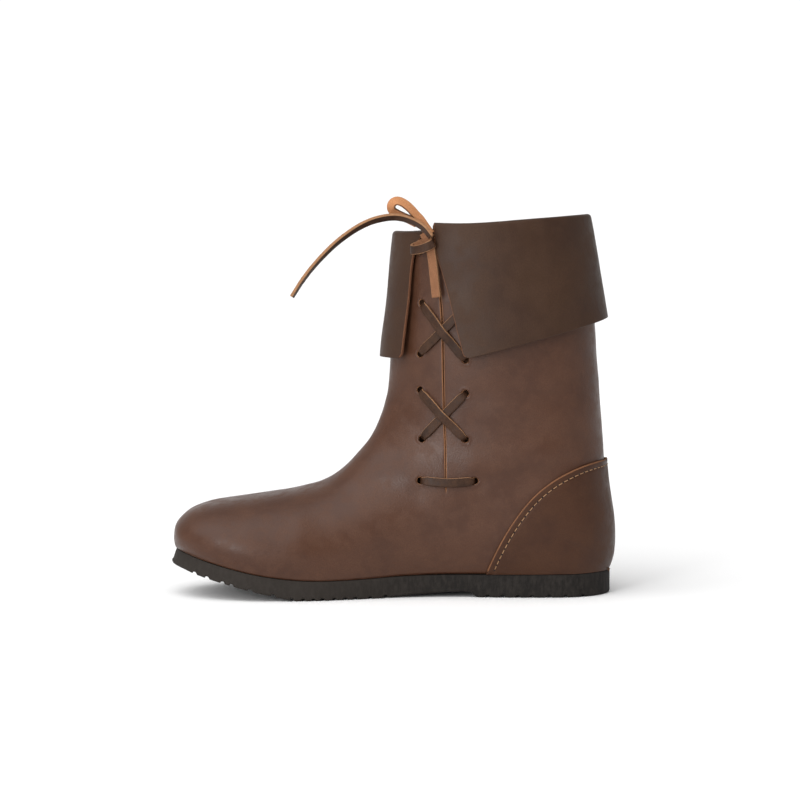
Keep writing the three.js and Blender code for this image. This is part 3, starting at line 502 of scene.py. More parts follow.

# Soft creases, listed one by one

# each runs through x and z places on one side; a negative height is a trough
creases = [
    {"side": -1, "width": 8, "height": -1.0, "line": [(-46, 71), (-24, 69), (-2, 67.5), (14, 66)]},
    {"side": -1, "width": 11, "height": 0.8, "line": [(-24, 84), (-6, 80), (8, 76)]},
    {"side": -1, "width": 6.5, "height": -1.0, "line": [(57, 76), (74, 75.5), (94, 78), (112, 86)]},
    {"side": -1, "width": 9, "height": 0.8, "line": [(54, 86), (74, 85), (98, 91)]},
    {"side": -1, "width": 7, "height": -0.7, "line": [(-14, 97), (-4, 95), (8, 91)]},
    {"side": -1, "width": 8, "height": -0.6, "line": [(52, 112), (70, 106), (92, 108)]},
    {"side": -1, "width": 12, "height": 0.7, "line": [(-104, 45), (-88, 37), (-72, 28)]},
    {"side": -1, "width": 10, "height": -0.6, "line": [(-112, 52), (-92, 48), (-74, 44)]},
    {"side": -1, "width": 11, "height": 0.6, "line": [(-60, 33), (-38, 34), (-10, 40)]},
    {"side": -1, "width": 10, "height": -0.6, "line": [(58, 128), (78, 133), (100, 128)]},
    {"side": 1, "width": 7, "height": -0.9, "line": [(-46, 71), (-22, 68), (4, 66), (20, 62)]},
    {"side": 1, "width": 8, "height": -0.8, "line": [(-13, 97), (8, 90), (30, 88)]},
    {"side": 1, "width": 7, "height": -0.8, "line": [(50, 84), (74, 80), (98, 86)]},
    {"side": 1, "width": 9, "height": 0.7, "line": [(20, 104), (48, 96), (84, 98)]},
    {"side": 1, "width": 9, "height": -0.6, "line": [(40, 126), (70, 122), (98, 130)]},
]


def creaseHeight(points):
    total = np.zeros(len(points))
    for crease in creases:
        line = np.array(crease["line"], float)
        near = np.full(len(points), 1e9)
        for a, b in zip(line[:-1], line[1:]):
            run = b - a
            t = np.clip(((points[:, [0, 2]] - a) @ run) / (run @ run), 0, 1)
            near = np.minimum(near, np.linalg.norm(points[:, [0, 2]] - a - t[:, None] * run, axis=1))
        sideShare = smooth(-6, 14, points[:, 1] * crease["side"])
        total += crease["height"] * np.exp(-((near / crease["width"]) ** 2)) * sideShare
    return total


# a slow unevenness of the whole skin, as leather pulled over a last has
def unevenness(points, seed, size):
    rng = np.random.default_rng(seed)
    total = np.zeros(len(points))
    for _ in range(14):
        way = rng.normal(size=3)
        way *= 2 * math.pi / (size * rng.uniform(0.7, 1.6) * np.linalg.norm(way))
        total += np.sin(points @ way + rng.uniform(0, 2 * math.pi))
    return total / math.sqrt(14)


# Upper

upperLook = {
    "rows": ((0, 17, 142), (17, 20, 42), (20, 24, 78)),  # from s, to s, steps
    "columns": ((-1, -0.62, 18), (-0.62, -0.34, 30), (-0.34, -0.14, 24), (-0.14, 0, 10)),  # the same by turn
    "outerColumns": 62,
    "slitColumn": 0.34, "slitHalf": 1.0, "slitFoot": 67.0, "slitClose": 4.0,
    "holeRadius": 2.4, "rings": 6, "block": 5.2,
    "lip": 0.22, "lipAt": 0.7, "lipWidth": 0.8,  # height of the pushed-up lip, how far off the hole, how wide
    "uneven": 0.16, "wall": leather, "edgeRound": 0.5, "standing": 1.3,
}


def upperRows():
    places = [np.linspace(a, b, n, endpoint=False) for a, b, n in upperLook["rows"]]
    return np.concatenate(places + [[float(collarRow)]])


# closer together where the lacing is
def upperColumns():
    inner = [np.linspace(a, b, n, endpoint=False) for a, b, n in upperLook["columns"]]
    return np.concatenate(inner + [np.linspace(0, 1, upperLook["outerColumns"])])


def slitFootRow():
    return float(placeAt(slitRows["x"][0], slitRows["z"][0])[0])


# where the slit's middle lies in each row; below its foot the column eases to its own even place
def slitTurn(s):
    left, right = np.zeros(len(s)), np.ones(len(s))
    for _ in range(30):
        turn = (left + right) / 2
        at = skinPoint(s, -turn)
        before = at[:, 0] < along(slitRows, "x", at[:, 2], by="z")
        left, right = np.where(before, turn, left), np.where(before, right, turn)
    fair = np.clip(left, 0.2, 0.85)
    share = smooth(slitFootRow() - 2.2, slitFootRow() - 0.3, s)
    return upperLook["slitColumn"] * (1 - share) + fair * share


def upperPlaces(rows, columns, slitAt, isOpen):
    k = upperLook["slitColumn"]
    centre = slitTurn(rows)
    z = skinPoint(rows, -centre)[:, 2]
    gap = upperLook["slitHalf"] * smooth(0, upperLook["slitClose"], z - upperLook["slitFoot"]) * isOpen
    ahead = skinPoint(rows, -(centre + 0.01)) - skinPoint(rows, -centre)
    gapTurn = gap * 0.01 / np.linalg.norm(ahead, axis=1)
    grid = np.zeros((len(rows), len(columns), 2))
    for j, column in enumerate(columns):
        grid[:, j, 0] = rows
        if column >= 0:
            grid[:, j, 1] = column
        elif j > slitAt:
            grid[:, j, 1] = -(centre - gapTurn) * (-column / k)
        else:
            grid[:, j, 1] = -1 + (1 - centre - gapTurn) * (column + 1) / (1 - k)
    frontLip = grid[:, slitAt].copy()
    frontLip[:, 1] = -(centre - gapTurn)
    return grid, frontLip


# the cells of the grid that a hole's patch takes the place of: first and last row, first and last column
def holeBlock(rows, grid, row, turn, at):
    i = int(np.argmin(np.abs(rows - row)))
    j = int(np.argmin(np.abs(grid[i, :, 1] - turn)))
    isNear = lambda a, b: np.linalg.norm(skinPoint(*grid[a, b]) - at) < upperLook["block"]
    top, bottom, left, right = i, i, j, j
    while isNear(top, j):
        top -= 1
    while bottom < len(rows) - 2 and isNear(bottom, j):
        bottom += 1
    while isNear(i, left):
        left -= 1
    while isNear(i, right):
        right += 1
    return top, bottom, left, right


# a patch of rings in the grid, from the border of its block in to the punched hole
def punchHole(sheet, x, z, rows, grid, ids):
    row, turn = (float(v) for v in placeAt(x, z))
    at, out = skinPoint(row, turn), skinOut(np.array(row), np.array(turn))
    alongS = (skinPoint(row + 0.01, turn) - skinPoint(row - 0.01, turn)) / 0.02
    alongT = (skinPoint(row, turn + 0.002) - skinPoint(row, turn - 0.002)) / 0.004
    toPlace = np.linalg.pinv(np.stack([alongS, alongT], -1))
    level = unit(np.cross(np.array([0, 1.0, 0]), out))
    steep = np.cross(out, level)
    top, bottom, left, right = holeBlock(rows, grid, row, turn, at)
    last = [ids[top, b] for b in range(left, right)] + [ids[a, right] for a in range(top, bottom)]
    last += [ids[bottom, b] for b in range(right, left, -1)] + [ids[a, left] for a in range(bottom, top, -1)]
    sheet["removed"].update((a, b) for a in range(top, bottom) for b in range(left, right))
    border = np.array([sheet["places"][n] for n in last])
    offsets = np.stack([(skinPoint(*place) - at) @ np.stack([level, steep], -1) for place in border])
    angles = np.arctan2(offsets[:, 1], offsets[:, 0])
    radius, rings = upperLook["holeRadius"], upperLook["rings"]
    spokes = [radius * (math.cos(a) * level + math.sin(a) * steep) for a in angles]
    circle = np.stack([np.array([row, turn]) + toPlace @ spoke for spoke in spokes])
    for ring in range(1, rings + 1):
        share = (ring / rings) ** 0.8
        current = border * (1 - share) + circle * share
        fromHole = np.linalg.norm(skinPoint(current[:, 0], current[:, 1]) - at, axis=1) - radius
        lip = np.exp(-(((fromHole - upperLook["lipAt"]) / upperLook["lipWidth"]) ** 2))
        height = lip if ring < rings else 0 * fromHole - 1
        first, count = len(sheet["places"]), len(current)
        sheet["places"] += list(current)
        sheet["lift"] += (upperLook["lip"] * height).tolist()
        for n in range(count):
            m = (n + 1) % count
            sheet["faces"].append((last[n], last[m], first + m, first + n))
        last = list(range(first, first + count))


def upperPiece():
    rows, columns = upperRows(), upperColumns()
    slitAt = int(np.argmin(np.abs(columns + upperLook["slitColumn"])))
    isOpen = rows > slitFootRow()
    grid, frontLip = upperPlaces(rows, columns, slitAt, isOpen)
    tall, wide = grid.shape[:2]
    places = list(grid.reshape(-1, 2)) + list(frontLip)
    sheet = {"places": places, "lift": [0.0] * len(places), "faces": [], "removed": set()}
    ids = np.arange(tall * wide).reshape(tall, wide)
    frontIds = ids.copy()
    frontIds[isOpen, slitAt] = tall * wide + np.nonzero(isOpen)[0]
    for pair in holeRows:
        for x, z in pair:
            punchHole(sheet, x, z, rows, grid, ids)
    for a in range(tall - 1):
        for b in range(wide - 1):
            if (a, b) not in sheet["removed"]:
                near = frontIds if b >= slitAt else ids
                sheet["faces"].append((near[a, b], near[a, b + 1], near[a + 1, b + 1], near[a + 1, b]))
    places, lift = np.array(sheet["places"]), np.array(sheet["lift"])
    points = softSkin(places[:, 0], places[:, 1])
    out = skinOut(places[:, 0], places[:, 1])
    calm = smooth(1, 14, points[:, 2] - bedZ(points[:, 0])) * smooth(24, 22.6, places[:, 0])
    move = (creaseHeight(points) + upperLook["uneven"] * unevenness(points, 5, 34)) * calm
    points = points + out * (move + lift)[:, None]
    return addWall("upperLeatherwork", points, out, sheet["faces"], upperLook["wall"], upperLook["edgeRound"],
                   [upperSkin, cutEdge, fleshSide], standing=upperLook["standing"])


# A leather wall from a sheet of points: the outer face, an inner face and a rounded cut edge between them.
# An edge less than standing over the sole's top stands on it. It keeps the outer finish.
# The outer part of a hem's rounding keeps the outer finish too, as painted shade under the hem.
def addWall(name, points, out, faces, wall, edgeRound, materials, standing=0.0, hem=False):
    points, faces, out = joinDoubles(points, faces, out)
    normal = sheetNormals(points, faces)
    if (normal * out).sum() < 0:
        faces = [face[::-1] for face in faces]
        normal = -normal
    edges = {}
    for face in faces:
        for a, b in zip(face, face[1:] + face[:1]):
            if (b, a) in edges:
                del edges[(b, a)]
            else:
                edges[(a, b)] = True
    count = len(points)
    away = np.zeros((count, 3))
    for a, b in edges:
        side = unit(np.cross(points[b] - points[a], normal[a] + normal[b]))
        away[a] += side
        away[b] += side
    away = unit(away - (away * normal).sum(1, keepdims=True) * normal)
    onBed = points[:, 2] - bedZ(points[:, 0]) < standing
    away[onBed, 2] = 0
    rim = sorted({v for edge in edges for v in edge})
    at = {v: k for k, v in enumerate(rim)}
    # how far each ring of the edge stands out, and how deep it lies under the outer face
    r = edgeRound
    rings = [(0.55 * r, 0.16 * r), (0.88 * r, 0.52 * r), (r, r), (r, wall - r), (0.7 * r, wall - 0.3 * r)]
    allPoints = [points, points - normal * wall]
    for reach, depth in rings:
        reach = np.where(onBed[rim], 0, reach)[:, None]
        allPoints.append(points[rim] + away[rim] * reach - normal[rim] * depth)
    onRing = lambda v: [2 * count + k * len(rim) + at[v] for k in range(len(rings))]
    ladder = {v: [v] + onRing(v) + [count + v] for v in rim}  # from the outer face round to the inner one
    slots = [0] * len(faces) + [2] * len(faces)
    allFaces = list(faces) + [tuple(v + count for v in face[::-1]) for face in faces]
    for a, b in edges:
        bedEdge = onBed[a] and onBed[b]
        # painted shade: the outer rings of a hem's cut edge keep the dark outer finish
        shadedHemEdge = hem and abs(points[a, 2] - points[b, 2]) < 0.5 * np.linalg.norm(points[a] - points[b])
        for ring in range(len(rings) + 1):
            allFaces.append((ladder[b][ring], ladder[a][ring], ladder[a][ring + 1], ladder[b][ring + 1]))
            slots.append(0 if bedEdge or shadedHemEdge and ring < 3 else 1)
    return addMesh(name, np.vstack(allPoints), allFaces, materials, slots)


def sheetNormals(points, faces):
    normal = np.zeros((len(points), 3))
    for size in {len(face) for face in faces}:
        some = np.array([face for face in faces if len(face) == size])
        first, last = points[some[:, 1]] - points[some[:, 0]], points[some[:, -1]] - points[some[:, 0]]
        middle = points[some[:, 2]] - points[some[:, 0]]
        flat = np.cross(first, middle) + (np.cross(middle, last) if size > 3 else 0)
        for k in range(size):
            np.add.at(normal, some[:, k], flat)
    return unit(normal)


# merges the points that meet, as at the toe and the end lines, and drops the faces that close up
def joinDoubles(points, faces, out):
    key = np.round(points / 0.004).astype(np.int64)
    _, first, same = np.unique(key, axis=0, return_index=True, return_inverse=True)
    same = same.reshape(-1)
    kept = []
    for face in faces:
        ring = []
        for v in face:
            v = int(same[v])
            if not ring or ring[-1] != v:
                ring.append(v)
        if ring[0] == ring[-1]:
            ring.pop()
        if len(set(ring)) == len(ring) and len(ring) > 2:
            kept.append(tuple(ring))
    used = np.unique([v for face in kept for v in face])
    place = np.full(len(first), -1)
    place[used] = np.arange(len(used))
    kept = [tuple(int(place[v]) for v in face) for face in kept]
    return points[first][used], kept, out[first][used]


upperWork = upperPiece()
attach(upperWork, "root")
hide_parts("upper")
print("upper", len(upperWork.data.polygons))

# Outsole and insole

soleLook = {
    "stations": 760, "across": 16,
    "grooves": [-124.7, -116.6, -106.5, -100.8, -89.1, -74.4, -62.7, -55.5, -49.2, -43.6, -36, -29.1, -22.8,
                -13.4, -3.7, 61.2, 70.7, 80.6, 89.4, 100.5, 111, 122],
    "grooveHalf": 1.5, "grooveDepth": 1.35,
}
# side of the slab from its top to its underside: how far in from the outline, and how far from the top
# or the bottom
soleProfile = [
    ("top", 9, 0), ("top", 3, 0), ("top", 0.8, 0),
    ("top", 0.25, -0.08), ("top", 0.05, -0.3), ("top", 0, -0.8),
    ("mix", 0, 0.75), ("mix", 0, 0.5), ("mix", 0, 0.25),
    ("bottom", 0, 1.7), ("bottom", 0.08, 1.0), ("bottom", 0.4, 0.4),
    ("bottom", 1.0, 0.06), ("bottom", 2.0, 0),
]


# a slab over the sole's plan, closed at the toe and the heel; each of its levels is a line round it
def slab(name, start, end, insetAt, profile, topAt, bottomAt, leanAt, grooveAt, look, materials):
    x = start + (end - start) * (1 - np.cos(np.linspace(0, math.pi, look["stations"]))) / 2
    middle, half = plan(x, insetAt(x))
    half[0] = half[-1] = 0
    rings = []
    for side in (-1, 1):
        line = np.stack([x, middle + side * half], -1)
        run = np.gradient(line, axis=0)
        outward = unit(np.stack([run[:, 1], -run[:, 0]], -1)) * (1 if side < 0 else -1)
        outward[0], outward[-1] = (-1, 0), (1, 0)
        levels = []
        for anchor, inset, offset in profile:
            at = line - outward * inset
            if anchor == "top":
                share, z = 1.0, topAt(x) + offset
            elif anchor == "bottom":
                share, z = 0.0, bottomAt(x) + offset
            else:
                share, z = offset, bottomAt(x) + (topAt(x) - bottomAt(x)) * offset
            at[:, 0] -= leanAt(x) * (1 - share)
            z = z + grooveAt(at[:, 0]) * (1 - smooth(1.5, 5.5, z - bottomAt(x)))
            levels.append(np.column_stack([at, z]))
        rings.append(np.array(levels))
    left, right = rings
    between = lambda a, b, steps: [a * (1 - k / steps) + b * (k / steps) for k in range(1, steps)]
    loops = list(left) + between(left[-1], right[-1], look["across"]) + list(right[::-1])
    loops += between(right[0], left[0], 4)
    points = np.array(loops).transpose(1, 0, 2)
    count, ring = points.shape[:2]
    ids = np.arange(count * ring).reshape(count, ring)
    ahead = np.roll(ids, -1, 1)
    quads = np.stack([ids[:-1], ahead[:-1], ahead[1:], ids[1:]], -1).reshape(-1, 4)
    piece = addMesh(name, points.reshape(-1, 3), quads.tolist(), materials)
    closeSolid(piece)
    return piece


def closeSolid(piece):
    mesh = bmesh.new()
    mesh.from_mesh(piece.data)
    bmesh.ops.remove_doubles(mesh, verts=mesh.verts, dist=3e-6)
    bmesh.ops.dissolve_degenerate(mesh, edges=mesh.edges, dist=1e-6)
    bmesh.ops.recalc_face_normals(mesh, faces=mesh.faces)
    mesh.to_mesh(piece.data)
    mesh.free()
    piece.data.shade_smooth()


def groove(x):
    depth = np.zeros(np.shape(x))
    for at in soleLook["grooves"]:
        near = np.clip(np.abs(x - at) / soleLook["grooveHalf"], 0, 1)
        depth = np.maximum(depth, soleLook["grooveDepth"] * (1 - near**4))
    return depth


none = lambda x: 0 * x
outsoleWork = slab("outsoleRubber", soleToe, soleHeel, none, soleProfile, bedZ,
                   lambda x: along(sideRows, "bottom", x), lambda x: along(sideRows, "lean", x), groove,
                   soleLook, [rubber])
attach(outsoleWork, "root")
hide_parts("outsole")

insoleLook = {"thick": 2.4, "gap": 1.2, "stations": 120, "across": 12}
insoleInset = lambda x: along(insetRows, "inset", x) + leather + insoleLook["gap"]
insoleToe, insoleHeel = soleToe + float(insoleInset(soleToe)), soleHeel - float(insoleInset(soleHeel))
insoleProfile = [("top", 4, 0), ("top", 1, 0), ("top", 0.35, -0.12), ("top", 0, -0.6),
                 ("bottom", 0, 0.4), ("bottom", 0.4, 0)]
insoleWork = slab("insoleFootbed", insoleToe, insoleHeel, insoleInset, insoleProfile,
                  lambda x: bedZ(x) + seam + insoleLook["thick"], lambda x: bedZ(x) + seam,
                  none, none, insoleLook, [footbed])
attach(insoleWork, "root")
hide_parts("insole")
print("sole")

# Counter

counterLook = {
    "gap": 0.3, "thick": 1.8, "rows": 150, "edgeRound": 0.7, "standing": 2.2, "uneven": 0.1,
    "stitchIn": 3.3, "pitch": 4.1, "groove": 0.28, "grooveWidth": 0.9,
    "stitchLength": 2.9, "threadRadius": 0.27, "stitchArch": 0.2, "threadLift": 0.12,
    "holeRadius": 0.5, "holeDepth": 0.3, "holeLift": 0.06,
    "lowestStitch": 2.2, "lastStitch": 0.985,  # over the sole's top, and as a turn near the back
}
# upper edge of the counter, seen from the side
counterRows = {"x": [58.5, 60.8, 66.9, 76.3, 87.7, 100.4, 116.4, 130, 150],
               "z": [10, 15.9, 30, 46.8, 62, 73.3, 81.7, 85.3, 86]}
counterFront = counterRows["x"][0]


def counterLine():
    x = np.linspace(counterFront, 146, 900)
    return np.stack([x, along(counterRows, "z", x)], -1)


def fromCounterLine(points):
    line = counterLine()
    flat = points[:, [0, 2]]
    near = np.full(len(flat), 1e9)
    for a, b in zip(line[:-1:3], line[3::3]):
        run = b - a
        t = np.clip(((flat - a) @ run) / (run @ run), 0, 1)
        near = np.minimum(near, np.linalg.norm(flat - a - t[:, None] * run, axis=1))
    return near


def counterEdgeTurn(s, side):
    left, right = np.full(len(s), 0.05), np.ones(len(s))
    for _ in range(36):
        turn = (left + right) / 2
        at = skinPoint(s, side * turn)
        before = at[:, 2] > along(counterRows, "z", at[:, 0])
        left, right = np.where(before, turn, left), np.where(before, right, turn)
    return right


# the row between low and high where the skin's inner end passes the counter's edge
def counterRow(low, high, isPast):
    for _ in range(40):
        s = (low + high) / 2
        end = skinPoint(s, -1.0)
        low, high = (s, high) if isPast(end) else (low, s)
    return low, high


# the counter's places on one side: each row runs from the edge line round to the back
def counterPlaces(side, rows):
    steps = np.concatenate([np.arange(0, 6, 0.6), np.arange(6, 96, 1.5)])  # distance from the edge
    fine = np.linspace(0, 1, 120)
    grid = []
    for s, edge in zip(rows, counterEdgeTurn(rows, side)):
        turn = edge + (1 - edge) * fine
        hops = np.linalg.norm(np.diff(skinPoint(s, side * turn), axis=0), axis=1)
        gone = np.concatenate([[0], np.cumsum(hops)])
        turns = np.append(np.interp(steps, gone, turn), 1.0)
        grid.append(np.stack([np.full(len(turns), s), side * turns], -1))
    return np.array(grid)


def counterPiece():
    edgeZ = lambda end: along(counterRows, "z", end[0])
    foot = counterRow(12.0, 17.0, lambda end: end[0] < counterFront or end[2] > edgeZ(end))[1]
    top = counterRow(17.0, 23.0, lambda end: end[2] < edgeZ(end))[0]
    rows = np.linspace(foot, top, counterLook["rows"])
    inner, outer = counterPlaces(-1, rows), counterPlaces(1, rows)
    both = np.concatenate([inner, outer[:, ::-1]], 1)
    wide, half = both.shape[1], inner.shape[1]
    places = both.reshape(-1, 2)
    points = softSkin(places[:, 0], places[:, 1])
    # the way out is evened over the rows, so that no crease shows where the sections change
    grid = skinOut(places[:, 0], places[:, 1]).reshape(len(rows), wide, 3)
    grid = np.pad(grid, ((8, 8), (0, 0), (0, 0)), mode="edge")
    out = unit(sum(grid[k:k + len(rows)] for k in range(17)).reshape(-1, 3))
    fromBed = points[:, 2] - bedZ(points[:, 0])
    out[:, 2] *= smooth(0, 5, fromBed)
    out = unit(out)
    fromSeam = (fromCounterLine(points) - counterLook["stitchIn"]) / counterLook["grooveWidth"]
    dent = counterLook["groove"] * np.exp(-(fromSeam**2))
    bulge = counterLook["uneven"] * unevenness(points, 9, 30) * smooth(2, 20, fromBed)
    lift = counterLook["gap"] + counterLook["thick"] - dent + bulge
    points = points + out * lift[:, None]
    ids = np.arange(len(points)).reshape(len(rows), wide)
    faces = []
    for a in range(len(rows) - 1):
        for b in range(wide - 1):
            if b != half - 1:
                faces.append((ids[a, b], ids[a, b + 1], ids[a + 1, b + 1], ids[a + 1, b]))
    return addWall("counterOverlay", points, out, faces, counterLook["thick"], counterLook["edgeRound"],
                   [counterSkin, counterEdge, fleshSide], standing=counterLook["standing"])


counterWork = counterPiece()
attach(counterWork, "root")
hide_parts("counter")
print("counter", len(counterWork.data.polygons))

# Cuff

cuffLook = {
    "foldRadius": 2.45, "flareFront": 3.9, "flareBack": 7.2, "flareFull": 75,
    "hemZ": 152.6, "hemLevel": 44, "hemRise": 0.262,  # level up to x = hemLevel, rising behind it
    "seamFront": 25.4, "seamRear": 27.2,  # x of the cuff's two ends inside the collar
    "frontTurn": -0.24, "rearTurn": -0.32,  # a first guess of the two flap edges' turn
    "corner": 4.0, "edgeRound": 0.36, "uneven": 0.35,
    "columns": 190, "foldSteps": 12, "flapSteps": 52,
}
# height of the fold over the collar by turn, and the two flap edges by their depth below the fold
foldRows = {"round": [-0.27, 0, 0.24, 0.5, 0.8, 1, 1.25, 1.42, 1.58, 1.72],
            "rise": [1.9, 2.7, 1, 2.2, 2.7, 3.5, 4.1, 4.3, 4.8, 6.9]}
cuffRows = {"depth": [0, 5, 13, 40, 65, 90],
            "frontX": [19.5, 15.6, 13.3, 10.4, 7.4, 4.4],
            "rearX": [27.2, 27.4, 28, 35.4, 41.6, 47.8]}


# the cuff's turn runs on past the back, where the skin's starts again at -1
def wrapped(turn):
    return np.where(turn > 1, turn - 2, turn)


# the place round the leg at a height, moved out level by a distance
def offLeg(turn, z, distance):
    turn = wrapped(np.asarray(turn, float))
    turn, z, distance = np.broadcast_arrays(turn, z, distance)
    low, high = np.full(turn.shape, float(heelRow)), np.full(turn.shape, float(lastRow))
    for _ in range(28):
        s = (low + high) / 2
        below = skinPoint(s, turn)[..., 2] < z
        low, high = np.where(below, s, low), np.where(below, high, s)
    side = np.where(turn < 0, -1.0, 1.0)
    step = 0.004
    ahead = skinPoint(low, side * np.minimum(np.abs(turn) + step, 1))
    behind = skinPoint(low, side * np.maximum(np.abs(turn) - step, 0))
    run = ahead - behind
    out = unit(np.stack([run[..., 1], -run[..., 0], 0 * run[..., 0]], -1)) * -side[..., None]
    at = skinPoint(low, turn)
    at[..., 2] = z
    return at + out * distance[..., None]


def cuffTurnAt(x, z, distance):
    low, high = np.full(np.shape(z), -0.7), np.full(np.shape(z), -0.02)
    for _ in range(26):
        turn = (low + high) / 2
        beyond = offLeg(turn, z, distance)[..., 0] > x
        low, high = np.where(beyond, turn, low), np.where(beyond, high, turn)
    return low


def collarZ(turn):
    return skinPoint(np.full(np.shape(turn), float(collarRow)), wrapped(np.asarray(turn, float)))[..., 2]


# height, level distance from the leg and depth below the fold, for places of the profile
def cuffPlace(turn, onRise, lift, distance, share):
    turn, onRise, lift, distance, share = np.broadcast_arrays(turn, onRise, lift, distance, share)
    rise = along(foldRows, "rise", np.where(turn < -0.26, turn + 2, turn), by="round")
    top = collarZ(turn) + rise
    rough = offLeg(turn, np.full(turn.shape, cuffLook["hemZ"]), np.full(turn.shape, 8.0))[..., 0]
    hem = cuffLook["hemZ"] + cuffLook["hemRise"] * np.maximum(rough - cuffLook["hemLevel"], 0)
    depth = (top - hem) * share
    backness = np.minimum(np.abs(turn), np.abs(2 - turn))
    swing = cuffLook["flareFront"] + (cuffLook["flareBack"] - cuffLook["flareFront"]) * backness
    reach = 2 * cuffLook["foldRadius"] - leather + swing * (depth / cuffLook["flareFull"]) ** 0.9
    onFlap = share > 0
    z = np.where(onFlap, top - depth, collarZ(turn) + onRise * rise + lift)
    return z, np.where(onFlap, reach, distance), depth


# turn of the cuff's end in each row: the seam's x inside the collar, the flap edge's x outside
def cuffEnds(start, key, seamX, onRise, lift, distance, share):
    inside = (share == 0) & (onRise < 1)
    turn = np.full(share.shape, start)
    for _ in range(5):
        z, reach, depth = cuffPlace(turn, onRise, lift, distance, share)
        x = np.where(inside, seamX, along(cuffRows, key, depth, by="depth"))
        turn = cuffTurnAt(x, z, reach)
    return turn


# rounds the hem corner at the first column in the leather's own plane
def roundCorner(view, corner):
    gone = lambda steps, axis: np.cumsum(np.linalg.norm(steps, axis=2), axis)
    tall, wide = view.shape[:2]
    fromEdge = np.concatenate([np.zeros((tall, 1)), gone(np.diff(view, axis=1), 1)], 1)
    fromHem = np.concatenate([np.zeros((1, wide)), gone(np.diff(view[::-1], axis=0), 0)], 0)[::-1]
    a, b = corner - fromEdge, corner - fromHem
    near = (a > 0) & (b > 0)
    scale = np.maximum(a, b) / np.maximum(np.hypot(a, b), 1e-9)
    moveA, moveB = np.where(near, a - a * scale, 0), np.where(near, b - b * scale, 0)
    runA = unit(np.gradient(view, axis=1))
    runB = -unit(np.gradient(view, axis=0))
    view += runA * moveA[..., None] + runB * moveB[..., None]


def cuffPiece():
    radius = cuffLook["foldRadius"]
    profile = [(0.0, seam, -leather, 0.0), (0.5, 0.15, -leather, 0.0)]
    for k in range(cuffLook["foldSteps"] + 1):
        angle = math.pi * k / cuffLook["foldSteps"]
        profile.append((1.0, radius * math.sin(angle), radius - leather - radius * math.cos(angle), 0.0))
    shares = 1 - (1 - np.linspace(0, 1, cuffLook["flapSteps"] + 1)[1:]) ** 1.25
    profile += [(1.0, 0.0, 0.0, float(share)) for share in shares]
    even = np.linspace(0, 1, cuffLook["columns"])
    columns = even - 0.045 * np.sin(2 * math.pi * even)
    onRise, lift, distance, share = np.array(profile).T
    rows = (onRise, lift, distance, share)
    front = cuffEnds(cuffLook["frontTurn"], "frontX", cuffLook["seamFront"], *rows)
    rear = cuffEnds(cuffLook["rearTurn"], "rearX", cuffLook["seamRear"], *rows) + 2
    turns = front[:, None] + (rear - front)[:, None] * columns[None, :]
    z, reach, _ = cuffPlace(turns, *(values[:, None] for values in rows))
    points = offLeg(turns, z, reach)
    roundCorner(points, cuffLook["corner"])
    roundCorner(points[:, ::-1], cuffLook["corner"])
    count, wide = points.shape[:2]
    ids = np.arange(count * wide).reshape(count, wide)
    quads = np.stack([ids[:-1, :-1], ids[:-1, 1:], ids[1:, 1:], ids[1:, :-1]], -1).reshape(-1, 4)
    flat = points.reshape(-1, 3)
    outwards = np.cross(np.gradient(points, axis=1), np.gradient(points, axis=0)).reshape(-1, 3)
    legMiddle = np.array([66, 0, 200])
    onFlap = flat[:, 2] < 215
    outwards = unit(outwards) * np.sign((outwards[onFlap] * (flat[onFlap] - legMiddle)).sum())
    wave = cuffLook["uneven"] * unevenness(flat, 21, 46) * smooth(3, 30, 236 - flat[:, 2])
    flat = flat + outwards * wave[:, None]
    faces = [tuple(quad) for quad in quads.tolist()]
    return addWall("cuffFlap", flat, outwards, faces, leather, cuffLook["edgeRound"],
                   [cuffSkin, shadedCuffEdge, fleshSide], hem=True)


cuffWork = cuffPiece()
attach(cuffWork, "root")
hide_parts("cuff")
print("cuff", len(cuffWork.data.polygons))

# Lacing

laceLook = {
    "lift": 0.4, "taper": 4.0, "taperLength": 4.8, "entry": 0.7,
    "goneIn": [-0.15, 0, 0.45, 1.4, 2.9, 4.6],  # how far along the run from the entry
    "height": [-5.0, -2.6, -0.8, 0.45, 1.05, 1.2],  # and how high over the skin there
}


# a run of the thong over the skin from a front hole to a rear one, going down into both;
# humps are share of the run, rise and width
def laceRun(name, start, end, humps, sag=0.0):
    start, end = np.array(start, float), np.array(end, float)
    length = np.linalg.norm(end - start)
    way = (end - start) / length
    entry = laceLook["entry"]
    gone, height = [entry + far for far in laceLook["goneIn"]], laceLook["height"]
    middle = np.linspace(entry + 7, length - entry - 7, 9)
    places = np.concatenate([gone, middle, [length - far for far in gone[::-1]]])
    base = laceLook["lift"] + thong["thick"] / 2
    heights = np.concatenate([height, np.full(9, base), height[::-1]])
    for share, rise, width in humps:
        heights = heights + rise * np.exp(-(((places - share * length) / width) ** 2)) * (heights > 0)
    flat = start + places[:, None] * way
    flat[:, 1] -= sag * np.sin(np.pi * np.clip(places / length, 0, 1))
    s, turn = placeAt(flat[:, 0], flat[:, 1])
    centres = smoothPath(skinPoint(s, turn) + skinOut(s, turn) * heights[:, None], 0.6)
    fromStart = np.linalg.norm(centres[:, [0, 2]] - start, axis=1)
    fromEnd = np.linalg.norm(centres[:, [0, 2]] - end, axis=1)
    taper = smooth(entry, laceLook["taperLength"], np.minimum(fromStart, fromEnd))
    widths = laceLook["taper"] + (thong["width"] - laceLook["taper"]) * taper
    thicks = np.full(len(centres), thong["thick"])
    normal = skinOut(*placeAt(centres[:, 0], centres[:, 2]))
    straight = unit(centres[-1] - centres[0])
    wide, up = pathFrames(centres, unit(np.cross(normal, straight)))
    return ribbon(name, centres, wide, up, widths, thicks, thongParts, shadedSide=-1)


